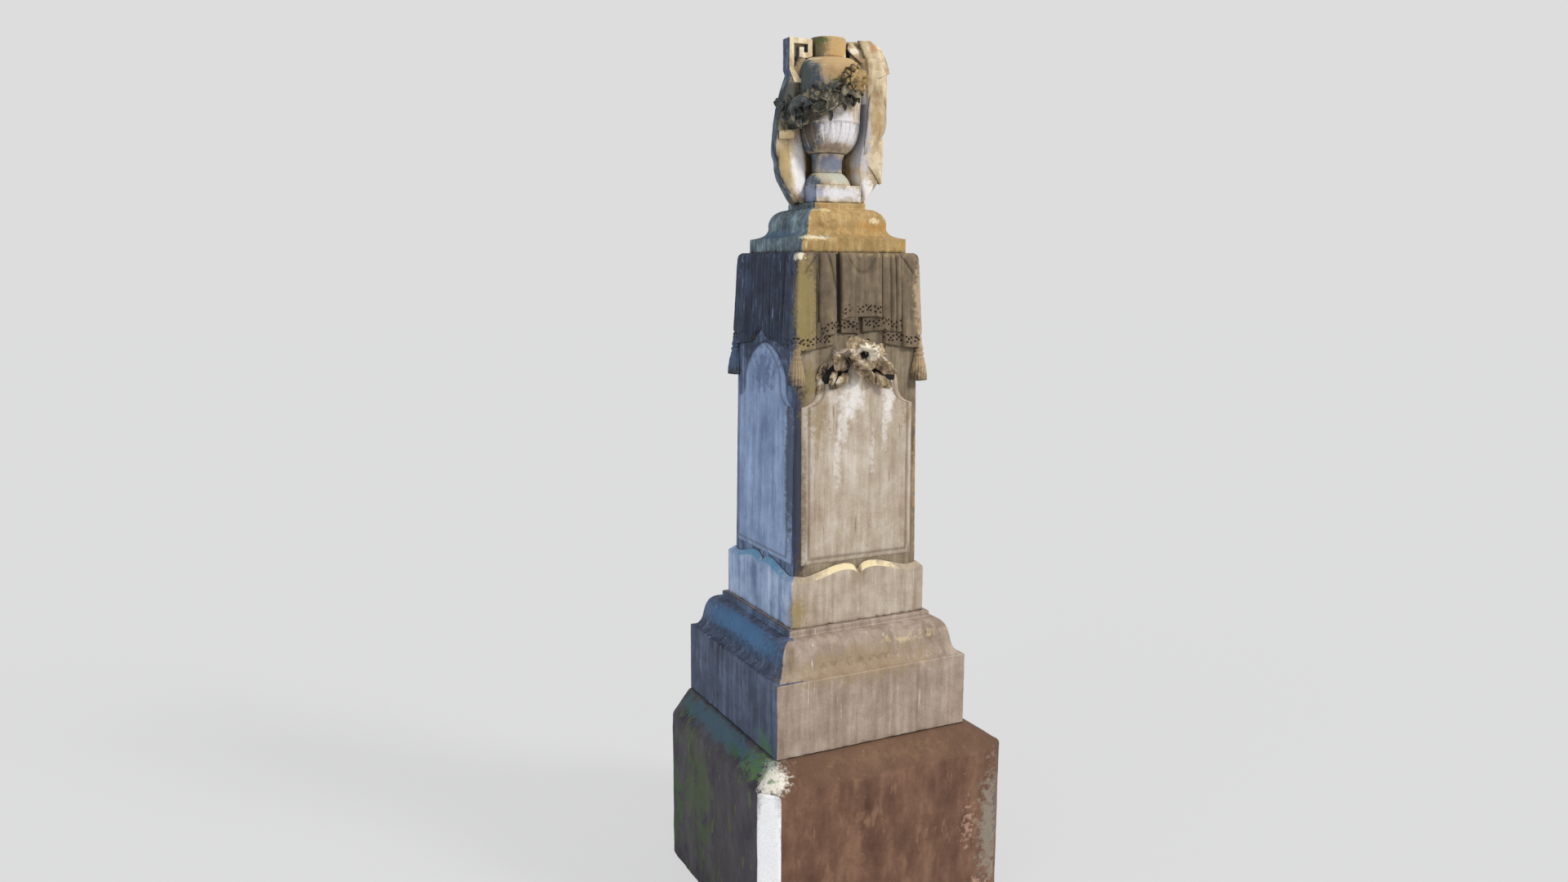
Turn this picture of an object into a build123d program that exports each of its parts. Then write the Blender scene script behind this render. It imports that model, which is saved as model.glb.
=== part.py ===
"""Grave monument in carved stone: a plinth, a moulded base, a draped die with four tablets, and a draped urn.

Sizes are in millimetres. X runs to the right along the front, Y to the back and Z up from the ground.
The stack of dressed stones stands off the middle of its plinth, and the urn a little off the stack.
"""

import math
import os

from build123d import *

# Plinth
PLINTH_LENGTH = 930.0
PLINTH_DEPTH = 835.0
PLINTH_WALL = 550.0
PLINTH_CORNER = 55.0
WASH_RISE = 80.0
WASH_MARGIN = 8.0
WASH_CORNER = 12.0
STACK_X = -30.0
STACK_Y = 17.5

# Base stone with its ogee
BASE_SIDE = 711.0
BASE_WALL = 243.0
OGEE_RISE = 120.6
OGEE_WAIST_INSET = 36.0
OGEE_WAIST_RISE = 50.0
FILLET_SIDE = 534.0
FILLET_RISE = 18.4

# Die: a tapered shaft, narrowed where the carved cloth covers it
SHAFT_FOOT = 457.0
SHAFT_TAPER = 0.0184
SHAFT_RISE = 740.0
CORE_RISE = 318.0
CORE_STEP = 19.0
SEAT_GAP = 0.3
HEM_SHAFT_HALF = (SHAFT_FOOT - SHAFT_TAPER * SHAFT_RISE) / 2
CORE_TOP_HALF = HEM_SHAFT_HALF - CORE_STEP

# Label stone: a low block whose scalloped edge stands up round the foot of the die
LABEL_PLATE = 20.7
LABEL_SIDE = SHAFT_FOOT + 2 * (LABEL_PLATE + SEAT_GAP)
LABEL_WALL = 138.0
LABEL_HORN = 14.0
LABEL_DIP = 8.0
LABEL_DIP_X = 196.0
LABEL_HUMP = 55.0
LABEL_HUMP_X = 62.0
LABEL_SWEEP = 40.0
LABEL_SWEEP_X = 128.0
LABEL_NOTCH = 30.0
LABEL_BEVEL = 17.0

# Tablets
TABLET_MARGIN = 21.5
TABLET_HALF = SHAFT_FOOT / 2 - TABLET_MARGIN
TABLET_START = 62.0
TABLET_SIDE_RISE = 513.0
TABLET_SHOULDER = 55.0
TABLET_PEAK_RISE = 706.0
TABLET_PROUD = 12.0
TABLET_BEVEL = 20.0

# Cloth over the die
CLOTH_PROUD = 18.5
CLOTH_LEAN = 14.0
CLOTH_SHOULDER_RISE = 24.0
CLOTH_SHOULDER_STEP = 12.0
HEM_HALF = HEM_SHAFT_HALF + CLOTH_PROUD
CORNER_HEM_RISE = 20.0
CORNER_STRIP = 79.0
CORNER_EDGE = HEM_HALF - CORNER_STRIP
CORNER_ROUND = 16.0
FOLD_DEPTH = 7.0
LAYER_HEM_RISE = 63.0
SIDE_HEM_RISE = 33.0
SIDE_ARCH_HALF = 92.0
SIDE_ARCH_RISE = 62.0
PANEL_HEM_RISE = 112.0
PANEL_HALF = 75.0
PANEL_SHIFT = 8.0
PANEL_SINK = 7.0
SLOT_WIDTH = 14.0
TONGUE_REACH = 61.0
TONGUE_PROUD = 7.0

# Tassels
TASSEL_LENGTH = 116.0
TASSEL_NECK = 13.0
TASSEL_SKIRT = 28.0
TASSEL_OUT = 3.0

# Cap stone
CAP_SET_BACK = 10.7
CAP_SIDE = 2 * (CORE_TOP_HALF - CAP_SET_BACK)
CAP_SLAB = 46.0
CAP_COVE_RISE = 34.0
CAP_NECK_SIDE = 0.755 * CAP_SIDE
CAP_DOME_RISE = 63.0
CAP_FILLET_SIDE = 0.495 * CAP_SIDE
CAP_FILLET_RISE = 18.0

# Urn
URN_X = 0.0
FOOT_SIDE = 168.0
FOOT_BLOCK_RISE = 56.0
FOOT_RADIUS = 80.0
FOOT_RISE = 42.0
STEM_RADIUS = 50.0
KNOP_RADIUS = 58.0
STEM_RISE = 61.0
BOWL_RISE = 302.0
BOWL_FLUTE_RISE = 95.0
BOWL_BELLY_RADIUS = 106.0
BOWL_SHOULDER_RADIUS = 113.0
BOWL_SHOULDER_RISE = 256.0
BOWL_MOUTH_RADIUS = 74.0
FLUTE_COUNT = 12
FLUTE_RADIUS = 13.0
NECK_RADIUS = 59.0
NECK_RISE = 64.0

# Handles: a square key whose outer bar runs down to the shoulder of the bowl
KEY_REACH = 152.0
KEY_WIDTH = 83.0
KEY_HEIGHT = 60.0
KEY_DROP = 10.0
KEY_BAR = 17.0
KEY_HOOK_GAP = 5.0
HANDLE_THICK = 47.0
HANDLE_DROP = 98.0
HANDLE_TAIL = 138.0
HANDLE_TAIL_X = 134.0
HANDLE_TAIL_BEND = 20.0
HANDLE_TAIL_RISE = 16.0
HANDLE_TAIL_WIDE = 36.0

# Cloth thrown over the right handle, down the right side and round the back to the left.
# Each section gives a share of its height, then how far it stands out on the left and on the right.
MANTLE_FRONT_LEFT = -10.0
MANTLE_FRONT_RIGHT = -62.0
MANTLE_BACK = 128.0
MANTLE_EDGE_LEFT = 42.0
MANTLE_EDGE_RIGHT = 76.0
MANTLE_INNER_BACK = 78.0
MANTLE_FOOT_RISE = 12.0
MANTLE_SECTIONS = ((0.0, 118.0, 118.0), (0.17, 166.0, 172.0), (0.40, 189.0, 175.0),
                   (0.66, 177.0, 195.0), (0.85, 154.0, 193.0), (1.0, 128.0, 191.0))
SHOULDER_SECTIONS = ((0.0, 193.0), (0.42, 191.0), (0.8, 179.0), (1.0, 157.0))
SHOULDER_DROP = 200.0
SHOULDER_OVER = 6.0
SHOULDER_INNER = 83.0
SHOULDER_BACK = 75.0
SHOULDER_ROUND = 24.0

# Garland across the bowl, thin at the flowers and full where it hangs on the left
GARLAND_START = -72.0
GARLAND_SWEEP = -112.0
GARLAND_SPREAD = 26.0
GARLAND_HIGH = 172.0
GARLAND_LOW = 112.0
GARLAND_TALL_START = 26.0
GARLAND_TALL_END = 56.0
GARLAND_DEEP = 27.0
GARLAND_STATIONS = 6
CLUSTER_RADIUS = 38.0
CLUSTER_RISE = 222.0
FLORET_RADIUS = 21.0
FLORET_COUNT = 6
FLORET_OUT = 10.0

# Flower spray at the head of the front tablet
LILY_X = 6.0
LILY_DROP = 24.0
LILY_LENGTH = 70.0
LILY_MOUTH = 42.0
LILY_TILT = 24.0
LILY_THROAT = 8.0
LILY_WALL = 4.0
STEM_THICK = 7.0
LEAF_LENGTH = 92.0
LEAF_WIDTH = 46.0
LEAF_THICK = 26.0
LEAF_COUNT = 5
SPRAY_DROP = 112.0
SPRAY_REACH = 138.0
SPRAY_START = 34.0
SPRAY_RISE = 12.0

# Heights of the beds, each stone on the one below
WASH_BED = PLINTH_WALL + WASH_RISE
LABEL_BED = WASH_BED + BASE_WALL + OGEE_RISE + FILLET_RISE
SHAFT_BED = LABEL_BED + LABEL_WALL
HEM_LEVEL = SHAFT_BED + SHAFT_RISE
CAP_BED = HEM_LEVEL + CORE_RISE
FOOT_BED = CAP_BED + CAP_SLAB + CAP_COVE_RISE + CAP_DOME_RISE + CAP_FILLET_RISE
STEM_BED = FOOT_BED + FOOT_BLOCK_RISE + FOOT_RISE
BOWL_BED = STEM_BED + STEM_RISE
NECK_BED = BOWL_BED + BOWL_RISE
URN_TOP = NECK_BED + NECK_RISE
MANTLE_FOOT = FOOT_BED + MANTLE_FOOT_RISE
MANTLE_TOP = BOWL_BED + BOWL_SHOULDER_RISE
SHOULDER_TOP = URN_TOP + SHOULDER_OVER
CLOTH_BACK = CORE_TOP_HALF - 2 * SEAT_GAP
LILY_LEVEL = HEM_LEVEL - LILY_DROP


def square(side, z):
    """Square face of one side length at a height."""
    return Pos(0, 0, z) * Rectangle(side, side)


def square_moulding(edges, reach):
    """Block with one half outline on all four sides, mitred at its corners."""
    half = make_face(edges)
    profile = half + mirror(half, about=Plane.YZ)
    bar = extrude(Plane.XZ * profile, amount=reach, both=True)
    return bar & (Rot(0, 0, 90) * bar)


def turned(edges):
    """Solid of revolution about the Z axis from a half outline in X and Z."""
    return revolve(Plane.XZ * make_face(edges), axis=Axis.Z)


def on_stack(shape):
    """Move a shape from the stack's own axis to its place on the plinth."""
    return Pos(STACK_X, STACK_Y, 0) * shape


def on_urn(shape):
    """Move a shape from the urn's own axis to its place on the stack."""
    return Pos(STACK_X + URN_X, STACK_Y, 0) * shape


def faces_round(shape, names=("front", "right", "back", "left")):
    """The same piece on each face of the die, by a quarter turn at a time."""
    return {name: Rot(0, 0, 90 * turn) * shape for turn, name in enumerate(names)}


def corners_round(shape):
    """The piece of the front left corner on each corner of the die, by mirrors."""
    right = mirror(shape, about=Plane.YZ)
    return {
        "front_left": shape,
        "front_right": right,
        "back_left": mirror(shape, about=Plane.XZ),
        "back_right": mirror(right, about=Plane.XZ),
    }


def clipped_rectangle(length, depth, leg):
    """Rectangle with its four corners cut off at 45 degrees."""
    return chamfer(Rectangle(length, depth).vertices(), leg)


def plinth_block():
    """Rough block with cut corners and a sloped top that sheds water from the base stone."""
    outline = clipped_rectangle(PLINTH_LENGTH, PLINTH_DEPTH, PLINTH_CORNER)
    seat_side = BASE_SIDE + 2 * WASH_MARGIN
    seat = Pos(STACK_X, STACK_Y, WASH_BED) * clipped_rectangle(seat_side, seat_side, WASH_CORNER)
    body = extrude(outline, PLINTH_WALL)
    wash = loft([Pos(0, 0, PLINTH_WALL) * outline, seat], ruled=True)
    return body + wash


def base_stone():
    """Square block under an ogee and a fillet."""
    half = BASE_SIDE / 2
    wall_top = WASH_BED + BASE_WALL
    ogee_top = wall_top + OGEE_RISE
    waist = (half - OGEE_WAIST_INSET, wall_top + OGEE_WAIST_RISE)
    fillet = FILLET_SIDE / 2
    top = ogee_top + FILLET_RISE
    lower = Spline([(half, wall_top), waist], tangents=[(-1, 0.1), (-0.15, 1)])
    upper = Spline([waist, (fillet, ogee_top)], tangents=[(-0.15, 1), (-1, 0.05)])
    walls = Polyline((0, WASH_BED), (half, WASH_BED), (half, wall_top))
    head = Polyline((fillet, ogee_top), (fillet, top), (0, top), (0, WASH_BED))
    return on_stack(square_moulding([walls, lower, upper, head], half + 1))


def label_face(drop):
    """Outline of one scalloped edge in X and Z, with its crest lowered by a drop."""
    half = LABEL_SIDE / 2
    bed = SHAFT_BED
    notch = (0, bed + LABEL_NOTCH - drop)
    hump = (LABEL_HUMP_X, bed + LABEL_HUMP - drop)
    sweep = (LABEL_SWEEP_X, bed + LABEL_SWEEP - drop)
    dip = (LABEL_DIP_X, bed + LABEL_DIP + LABEL_BEVEL - drop)
    end = (half - LABEL_PLATE, bed + LABEL_HORN + LABEL_BEVEL - drop)
    crest = Spline([notch, hump, sweep, dip, end], tangents=[(0.5, 1), (1, 0.2)])
    rim = Polyline(end, (half, end[1]), (half, bed - LABEL_BEVEL), (0, bed - LABEL_BEVEL), notch)
    side = make_face([crest, rim])
    return side + mirror(side, about=Plane.YZ)


def label_plate():
    """One scalloped edge of the label stone, on the front, bevelled along its crest."""
    half = LABEL_SIDE / 2
    crest = Plane.XZ.offset(half - LABEL_BEVEL) * label_face(0)
    rim = Plane.XZ.offset(half) * label_face(LABEL_BEVEL)
    plate = extrude(crest, amount=LABEL_BEVEL - LABEL_PLATE) + loft([crest, rim], ruled=True)
    inner = half - LABEL_PLATE
    mitre = Polyline((-half, -half), (half, -half), (inner, -inner), (-inner, -inner), (-half, -half))
    return plate & Pos(0, 0, SHAFT_BED) * extrude(make_face(mitre), CORE_RISE)


def label_stone():
    """Block on the base with its scalloped edge standing round the die."""
    block = Pos(0, 0, LABEL_BED) * extrude(Rectangle(LABEL_SIDE, LABEL_SIDE), LABEL_WALL)
    stone = block
    for plate in faces_round(label_plate()).values():
        stone += plate
    return on_stack(stone)


def shaft_side(rise):
    """Side of the tapered shaft at a rise above its bed."""
    return SHAFT_FOOT - SHAFT_TAPER * rise


def die_block():
    """Shaft and the narrower core behind the cloth, on the stack's own axis."""
    hem = square(shaft_side(SHAFT_RISE), HEM_LEVEL)
    shaft = loft([square(SHAFT_FOOT, SHAFT_BED), hem], ruled=True)
    core = loft([hem, square(2 * CORE_TOP_HALF, CAP_BED)], ruled=True)
    return shaft + core


def front_plane(rise):
    """Plane on the leaning front face of the shaft at a rise above its bed."""
    lean = math.degrees(math.atan(SHAFT_TAPER / 2))
    here = Pos(0, -shaft_side(rise) / 2, SHAFT_BED + rise)
    return here * Rot(90 - lean, 0, 0)


def tablet():
    """Raised tablet with a bevelled border, square below and arched above, on the front."""
    shoulder = (TABLET_HALF - TABLET_SHOULDER, TABLET_SIDE_RISE + TABLET_SHOULDER)
    corner = (TABLET_HALF, TABLET_SIDE_RISE)
    peak = (0, TABLET_PEAK_RISE)
    step = Spline([corner, shoulder], tangents=[(0, 1), (-1, 0.5)])
    arch = Spline([shoulder, peak], tangents=[(-0.1, 1), (-1, 0.28)])
    foot = Polyline(peak, (0, 0), (TABLET_HALF, 0), corner)
    half = make_face([step, arch, foot])
    plate = extrude(half + mirror(half, about=Plane.YZ), TABLET_PROUD)
    rim = plate.faces().sort_by(Axis.Z)[-1].edges()
    plate = chamfer(rim, TABLET_PROUD - 1, TABLET_BEVEL)
    return front_plane(TABLET_START) * plate


def cloth_half(z):
    """Distance from the axis to the outer face of the cloth, which rounds over just under the cap."""
    over = max(0.0, z - (CAP_BED - CLOTH_SHOULDER_RISE))
    lean = CLOTH_LEAN * (z - HEM_LEVEL) / CORE_RISE
    return HEM_HALF - lean - CLOTH_SHOULDER_STEP * over / CLOTH_SHOULDER_RISE


def cloth_levels(low):
    """Heights of the plan sections of hanging cloth, from its hem to the cap."""
    return (low, CAP_BED - CLOTH_SHOULDER_RISE, CAP_BED)


def fold_face(edges_x, z, back):
    """Plan section of hanging folds on the front: one rounded crown between each pair of edges."""
    crown = -cloth_half(z)
    valley = crown + FOLD_DEPTH
    lines = []
    for start, end in zip(edges_x, edges_x[1:]):
        middle = (start + end) / 2
        lines.append(ThreePointArc((start, valley), (middle, crown), (end, valley)))
    first, last = edges_x[0], edges_x[-1]
    lines.append(Polyline((last, valley), (last, -back), (first, -back), (first, valley)))
    return Pos(0, 0, z) * make_face(lines)


def folds(layer_hem):
    """Middle layer of the cloth on the front: two side folds and the flat between them."""
    left = PANEL_SHIFT - PANEL_HALF
    right = PANEL_SHIFT + PANEL_HALF
    edges = [-CORNER_EDGE, left, PANEL_SHIFT, right, (right + CORNER_EDGE) / 2, CORNER_EDGE]
    shape = loft([fold_face(edges, z, CLOTH_BACK) for z in cloth_levels(layer_hem)], ruled=True)
    sunk = []
    for z in cloth_levels(layer_hem):
        bed = cloth_half(z) - PANEL_SINK - FOLD_DEPTH
        middle = (bed + 2 * HEM_HALF) / 2
        sunk.append(Pos(PANEL_SHIFT, -middle, z) * Rectangle(2 * PANEL_HALF, 2 * HEM_HALF - bed))
    return shape - loft(sunk, ruled=True)


def parting(layer_hem):
    """Slot where the middle layer parts under the centre panel on the front."""
    size = (SLOT_WIDTH, 4 * CLOTH_PROUD, PANEL_HEM_RISE - LAYER_HEM_RISE)
    base = (Align.CENTER, Align.CENTER, Align.MIN)
    return Pos(PANEL_SHIFT / 2, -HEM_HALF, layer_hem) * Box(*size, align=base)


def hem_arch(rise):
    """Arch that the hem makes where the cloth is caught up on the middle of a side."""
    foot = HEM_LEVEL + SIDE_HEM_RISE - CORNER_HEM_RISE
    low = (-SIDE_ARCH_HALF, foot)
    high = (0, HEM_LEVEL + SIDE_HEM_RISE + rise)
    outline = [ThreePointArc(low, high, (SIDE_ARCH_HALF, foot)), Line((SIDE_ARCH_HALF, foot), low)]
    return extrude(Plane.XZ * make_face(outline), amount=2 * HEM_HALF)


def panel():
    """Centre panel of the cloth on the front, over the flat of the middle layer."""
    left = PANEL_SHIFT - PANEL_HALF
    right = PANEL_SHIFT + PANEL_HALF
    faces = []
    for z in cloth_levels(HEM_LEVEL + PANEL_HEM_RISE):
        crown = -cloth_half(z)
        bed = crown + PANEL_SINK + FOLD_DEPTH
        crease = crown + FOLD_DEPTH
        front = ThreePointArc((left, crease), (PANEL_SHIFT, crown), (right, crease))
        rest = Polyline((right, crease), (right, bed), (left, bed), (left, crease))
        faces.append(Pos(0, 0, z) * make_face([front, rest]))
    return loft(faces, ruled=True)


def corner_face(z, edge):
    """Plan section of the cloth round the front left corner, from one inner edge to the other."""
    out = -cloth_half(z)
    lip = out + FOLD_DEPTH
    back = -CLOTH_BACK
    turn = out + CORNER_ROUND
    bend = out + CORNER_ROUND * (1 - math.sqrt(0.5))
    lines = [
        ThreePointArc((-edge, lip), ((turn - edge) / 2, out - 1), (turn, out)),
        ThreePointArc((turn, out), (bend, bend), (out, turn)),
        ThreePointArc((out, turn), (out - 1, (turn - edge) / 2), (lip, -edge)),
        Polyline((lip, -edge), (back, -edge), (back, back), (-edge, back), (-edge, lip)),
    ]
    return Pos(0, 0, z) * make_face(lines)


def corner_fall():
    """Cloth that falls round one corner of the die, with a tongue that runs on under the side folds."""
    low = HEM_LEVEL + CORNER_HEM_RISE
    fall = loft([corner_face(z, CORNER_EDGE) for z in cloth_levels(low)], ruled=True)
    reach = HEM_SHAFT_HALF + TONGUE_PROUD
    long = TONGUE_REACH
    middle = -(CORNER_EDGE - TONGUE_REACH / 2)
    base = (Align.CENTER, Align.CENTER, Align.MIN)
    front = Pos(middle, -reach / 2, low) * Box(long, reach, LAYER_HEM_RISE - CORNER_HEM_RISE, align=base)
    flank = Pos(-reach / 2, middle, low) * Box(reach, long, SIDE_HEM_RISE - CORNER_HEM_RISE, align=base)
    return fall + front + flank


def tassel():
    """Tassel on the front left corner, hanging from the cloth's lowest edge."""
    top = HEM_LEVEL + CORNER_HEM_RISE
    foot = top - TASSEL_LENGTH
    knot = top - 0.22 * TASSEL_LENGTH
    outline = Polyline((0, top), (TASSEL_NECK, top), (TASSEL_NECK, knot))
    skirt = Spline([(TASSEL_NECK, knot), (TASSEL_SKIRT, foot)], tangents=[(0.5, -1), (0.15, -1)])
    close = Polyline((TASSEL_SKIRT, foot), (0, foot), (0, top))
    centre = HEM_SHAFT_HALF + TASSEL_OUT
    return Pos(-centre, -centre, 0) * turned([outline, skirt, close])


def cap_stone():
    """Square cap: a slab, a hollow, a rounded top and a fillet under the urn."""
    half = CAP_SIDE / 2
    slab = CAP_BED + CAP_SLAB
    cove = slab + CAP_COVE_RISE
    dome = cove + CAP_DOME_RISE
    top = dome + CAP_FILLET_RISE
    neck = CAP_NECK_SIDE / 2
    seat = CAP_FILLET_SIDE / 2
    wall = Polyline((0, CAP_BED), (half, CAP_BED), (half, slab))
    hollow = Spline([(half, slab), (neck, cove)], tangents=[(-1, 0.1), (-0.1, 1)])
    round_top = Spline([(neck, cove), (seat, dome)], tangents=[(0.1, 1), (-1, 0.1)])
    head = Polyline((seat, dome), (seat, top), (0, top), (0, CAP_BED))
    return on_stack(square_moulding([wall, hollow, round_top, head], half + 1))


def urn_foot_block():
    """Square block under the urn's round foot."""
    return on_urn(Pos(0, 0, FOOT_BED) * extrude(Rectangle(FOOT_SIDE, FOOT_SIDE), FOOT_BLOCK_RISE))


def urn_foot():
    """Round foot that domes up to the stem."""
    low = FOOT_BED + FOOT_BLOCK_RISE
    side = Spline([(FOOT_RADIUS, low), (STEM_RADIUS, STEM_BED)], tangents=[(-0.3, 1), (-1, 0.6)])
    rest = Polyline((STEM_RADIUS, STEM_BED), (0, STEM_BED), (0, low), (FOOT_RADIUS, low))
    return on_urn(turned([side, rest]))


def urn_stem():
    """Stem that swells into a knop under the bowl."""
    side = Spline([(STEM_RADIUS, STEM_BED), (KNOP_RADIUS, BOWL_BED)], tangents=[(-0.1, 1), (0.6, 1)])
    rest = Polyline((KNOP_RADIUS, BOWL_BED), (0, BOWL_BED), (0, STEM_BED), (STEM_RADIUS, STEM_BED))
    return on_urn(turned([side, rest]))


def bowl_body():
    """Bowl of the urn on its own axis, plain."""
    band = BOWL_BED + BOWL_FLUTE_RISE
    shoulder = BOWL_BED + BOWL_SHOULDER_RISE
    lower = Spline([(KNOP_RADIUS, BOWL_BED), (BOWL_BELLY_RADIUS, band)], tangents=[(1, 0.55), (0.1, 1)])
    widest = (BOWL_SHOULDER_RADIUS, shoulder)
    mouth = (BOWL_MOUTH_RADIUS, NECK_BED)
    upper = Spline([(BOWL_BELLY_RADIUS, band), widest], tangents=[(0.1, 1), (0.06, 1)])
    top = Spline([widest, mouth], tangents=[(-0.1, 1), (-1, 0.3)])
    rest = Polyline((BOWL_MOUTH_RADIUS, NECK_BED), (0, NECK_BED), (0, BOWL_BED), (KNOP_RADIUS, BOWL_BED))
    return turned([lower, upper, top, rest])


def urn_bowl():
    """Bowl with flutes cut in its lower part."""
    flute_top = BOWL_BED + BOWL_FLUTE_RISE - FLUTE_RADIUS
    bowl = bowl_body()
    for turn in range(FLUTE_COUNT):
        cutter = Pos(BOWL_BELLY_RADIUS + 4, 0, flute_top) * Sphere(FLUTE_RADIUS)
        bowl -= Rot(0, 0, 360 / FLUTE_COUNT * turn) * cutter
    return on_urn(bowl)


def urn_neck():
    """Plain round neck, flat on top."""
    return on_urn(Pos(0, 0, NECK_BED) * extrude(Circle(NECK_RADIUS), NECK_RISE))


def key_outline():
    """Outline of the left handle in X and Z: the square key and the bar that runs down to the bowl."""
    out, top, bar = -KEY_REACH, URN_TOP - KEY_DROP, KEY_BAR
    inner = out + KEY_WIDTH
    low = top - KEY_HEIGHT
    hook = inner - 2 * bar - KEY_HOOK_GAP
    return Polyline(
        (out, top),
        (inner, top),
        (inner, low),
        (hook - bar / 2, low),
        (hook - bar / 2, top - 1.6 * bar),
        (hook + bar / 2, top - 1.6 * bar),
        (hook + bar / 2, low + bar),
        (inner - bar, low + bar),
        (inner - bar, top - bar),
        (out + bar, top - bar),
        (out + bar, top - HANDLE_DROP),
        (-HANDLE_TAIL_X + HANDLE_TAIL_BEND, top - HANDLE_TAIL + HANDLE_TAIL_RISE),
        (-HANDLE_TAIL_X + HANDLE_TAIL_WIDE, top - HANDLE_TAIL),
        (-HANDLE_TAIL_X, top - HANDLE_TAIL),
        (out, top - HANDLE_DROP),
        (out, top),
    )


def handle(side):
    """Handle on one side of the bowl, cut to seat on it."""
    plate = extrude(Plane.XZ * make_face(key_outline()), amount=HANDLE_THICK / 2, both=True)
    if side == "right":
        plate = mirror(plate, about=Plane.YZ)
    return on_urn(plate - bowl_body())


def mantle_face(z, left, right):
    """Plan section of the cloth round the back of the urn, open to the front."""
    outer = Spline(
        [(-left, MANTLE_FRONT_LEFT), (-left * 0.78, MANTLE_BACK * 0.68), (0, MANTLE_BACK),
         (right * 0.8, MANTLE_BACK * 0.66), (right, MANTLE_FRONT_RIGHT)]
    )
    inner_left = MANTLE_EDGE_LEFT - left
    inner_right = right - MANTLE_EDGE_RIGHT
    inner = Spline(
        [(inner_right, MANTLE_FRONT_RIGHT), (inner_right * 0.8, MANTLE_INNER_BACK * 0.5),
         (0, MANTLE_INNER_BACK), (inner_left * 0.6, MANTLE_INNER_BACK * 0.6), (inner_left, MANTLE_FRONT_LEFT)]
    )
    front_left = Line((inner_left, MANTLE_FRONT_LEFT), (-left, MANTLE_FRONT_LEFT))
    front_right = Line((right, MANTLE_FRONT_RIGHT), (inner_right, MANTLE_FRONT_RIGHT))
    return Pos(0, 0, z) * make_face([front_left, outer, front_right, inner])


def shoulder_face(z, right):
    """Plan section of the cloth where it lies over the right handle."""
    wide = right - SHOULDER_INNER
    deep = SHOULDER_BACK - MANTLE_FRONT_RIGHT
    middle = (SHOULDER_BACK + MANTLE_FRONT_RIGHT) / 2
    return Pos(SHOULDER_INNER + wide / 2, middle, z) * RectangleRounded(wide, deep, SHOULDER_ROUND)


def urn_cloth():
    """The cloth as one piece, before what it lies on is cut away."""
    tall = MANTLE_TOP - MANTLE_FOOT
    mantle = [mantle_face(MANTLE_FOOT + tall * share, left, right) for share, left, right in MANTLE_SECTIONS]
    drop = SHOULDER_TOP - SHOULDER_DROP
    shoulder = [shoulder_face(drop + SHOULDER_DROP * share, right) for share, right in SHOULDER_SECTIONS]
    return loft(mantle, ruled=True) + loft(shoulder, ruled=True)


def garland_station(share):
    """Section of the garland on an upright plane through the urn's axis."""
    turn = GARLAND_START + GARLAND_SWEEP * share
    tall = GARLAND_TALL_START + (GARLAND_TALL_END - GARLAND_TALL_START) * share
    rise = GARLAND_LOW + (GARLAND_HIGH - GARLAND_LOW) * (1 - share) ** 2
    out = BOWL_BELLY_RADIUS + GARLAND_DEEP / 3 + GARLAND_SPREAD * share**2
    return Rot(0, 0, turn) * (Plane.XZ * (Pos(out, BOWL_BED + rise) * Ellipse(GARLAND_DEEP, tall)))


def garland():
    """Rope of leaves laid on the bowl."""
    last = GARLAND_STATIONS - 1
    rope = loft([garland_station(step / last) for step in range(GARLAND_STATIONS)])
    return rope - bowl_body()


def flower_cluster():
    """Bunch of florets at the high end of the garland."""
    out = BOWL_SHOULDER_RADIUS + CLUSTER_RADIUS * 0.2
    bunch = Sphere(CLUSTER_RADIUS * 0.8)
    for turn in range(FLORET_COUNT):
        spoke = math.radians(360 / FLORET_COUNT * turn)
        across = CLUSTER_RADIUS * 0.62
        bunch += Pos(FLORET_OUT, across * math.cos(spoke), across * math.sin(spoke)) * Sphere(FLORET_RADIUS)
    bunch = Rot(0, 0, GARLAND_START) * Pos(out, 0, BOWL_BED + CLUSTER_RISE) * bunch
    return bunch


def leaf_face(length, width):
    """Pointed leaf outline with its stalk at the origin."""
    upper = ThreePointArc((0, 0), (length / 2, width / 2), (length, 0))
    lower = ThreePointArc((length, 0), (length / 2, -width / 2), (0, 0))
    return make_face([upper, lower])


def leaf(length, width, thick):
    """Pointed leaf that rises to a narrow ridge, lying in X and Y."""
    ridge = Pos(length * 0.2, 0, thick) * leaf_face(length * 0.6, width * 0.25)
    return loft([leaf_face(length, width), ridge], ruled=True)


def spray_point(side, share):
    """Point of the spray's stem, in X and Z, from the lily at 0 to its end at 1."""
    x = LILY_X + side * (SPRAY_START + (SPRAY_REACH - SPRAY_START) * share)
    return x, LILY_LEVEL + SPRAY_RISE - SPRAY_DROP * share**1.4


def spray_side(side):
    """Stem that follows the arch of the tablet down one side of the lily, with its leaves."""
    spine = Spline([spray_point(side, share) for share in (0.0, 0.5, 1.0)])
    stem = sweep(Plane(spine @ 0, z_dir=spine % 0) * Circle(STEM_THICK), spine)
    for step in range(LEAF_COUNT):
        share = (step + 0.5) / LEAF_COUNT
        x, z = spray_point(side, share)
        slant = -40 - 35 * share if side > 0 else -140 + 35 * share
        blade = Pos(-LEAF_LENGTH / 3, 0, 0) * leaf(LEAF_LENGTH, LEAF_WIDTH, LEAF_THICK)
        stem += Pos(x, z, 0) * Rot(0, 0, slant) * blade
    return Plane.XZ.offset(HEM_SHAFT_HALF) * stem


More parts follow.
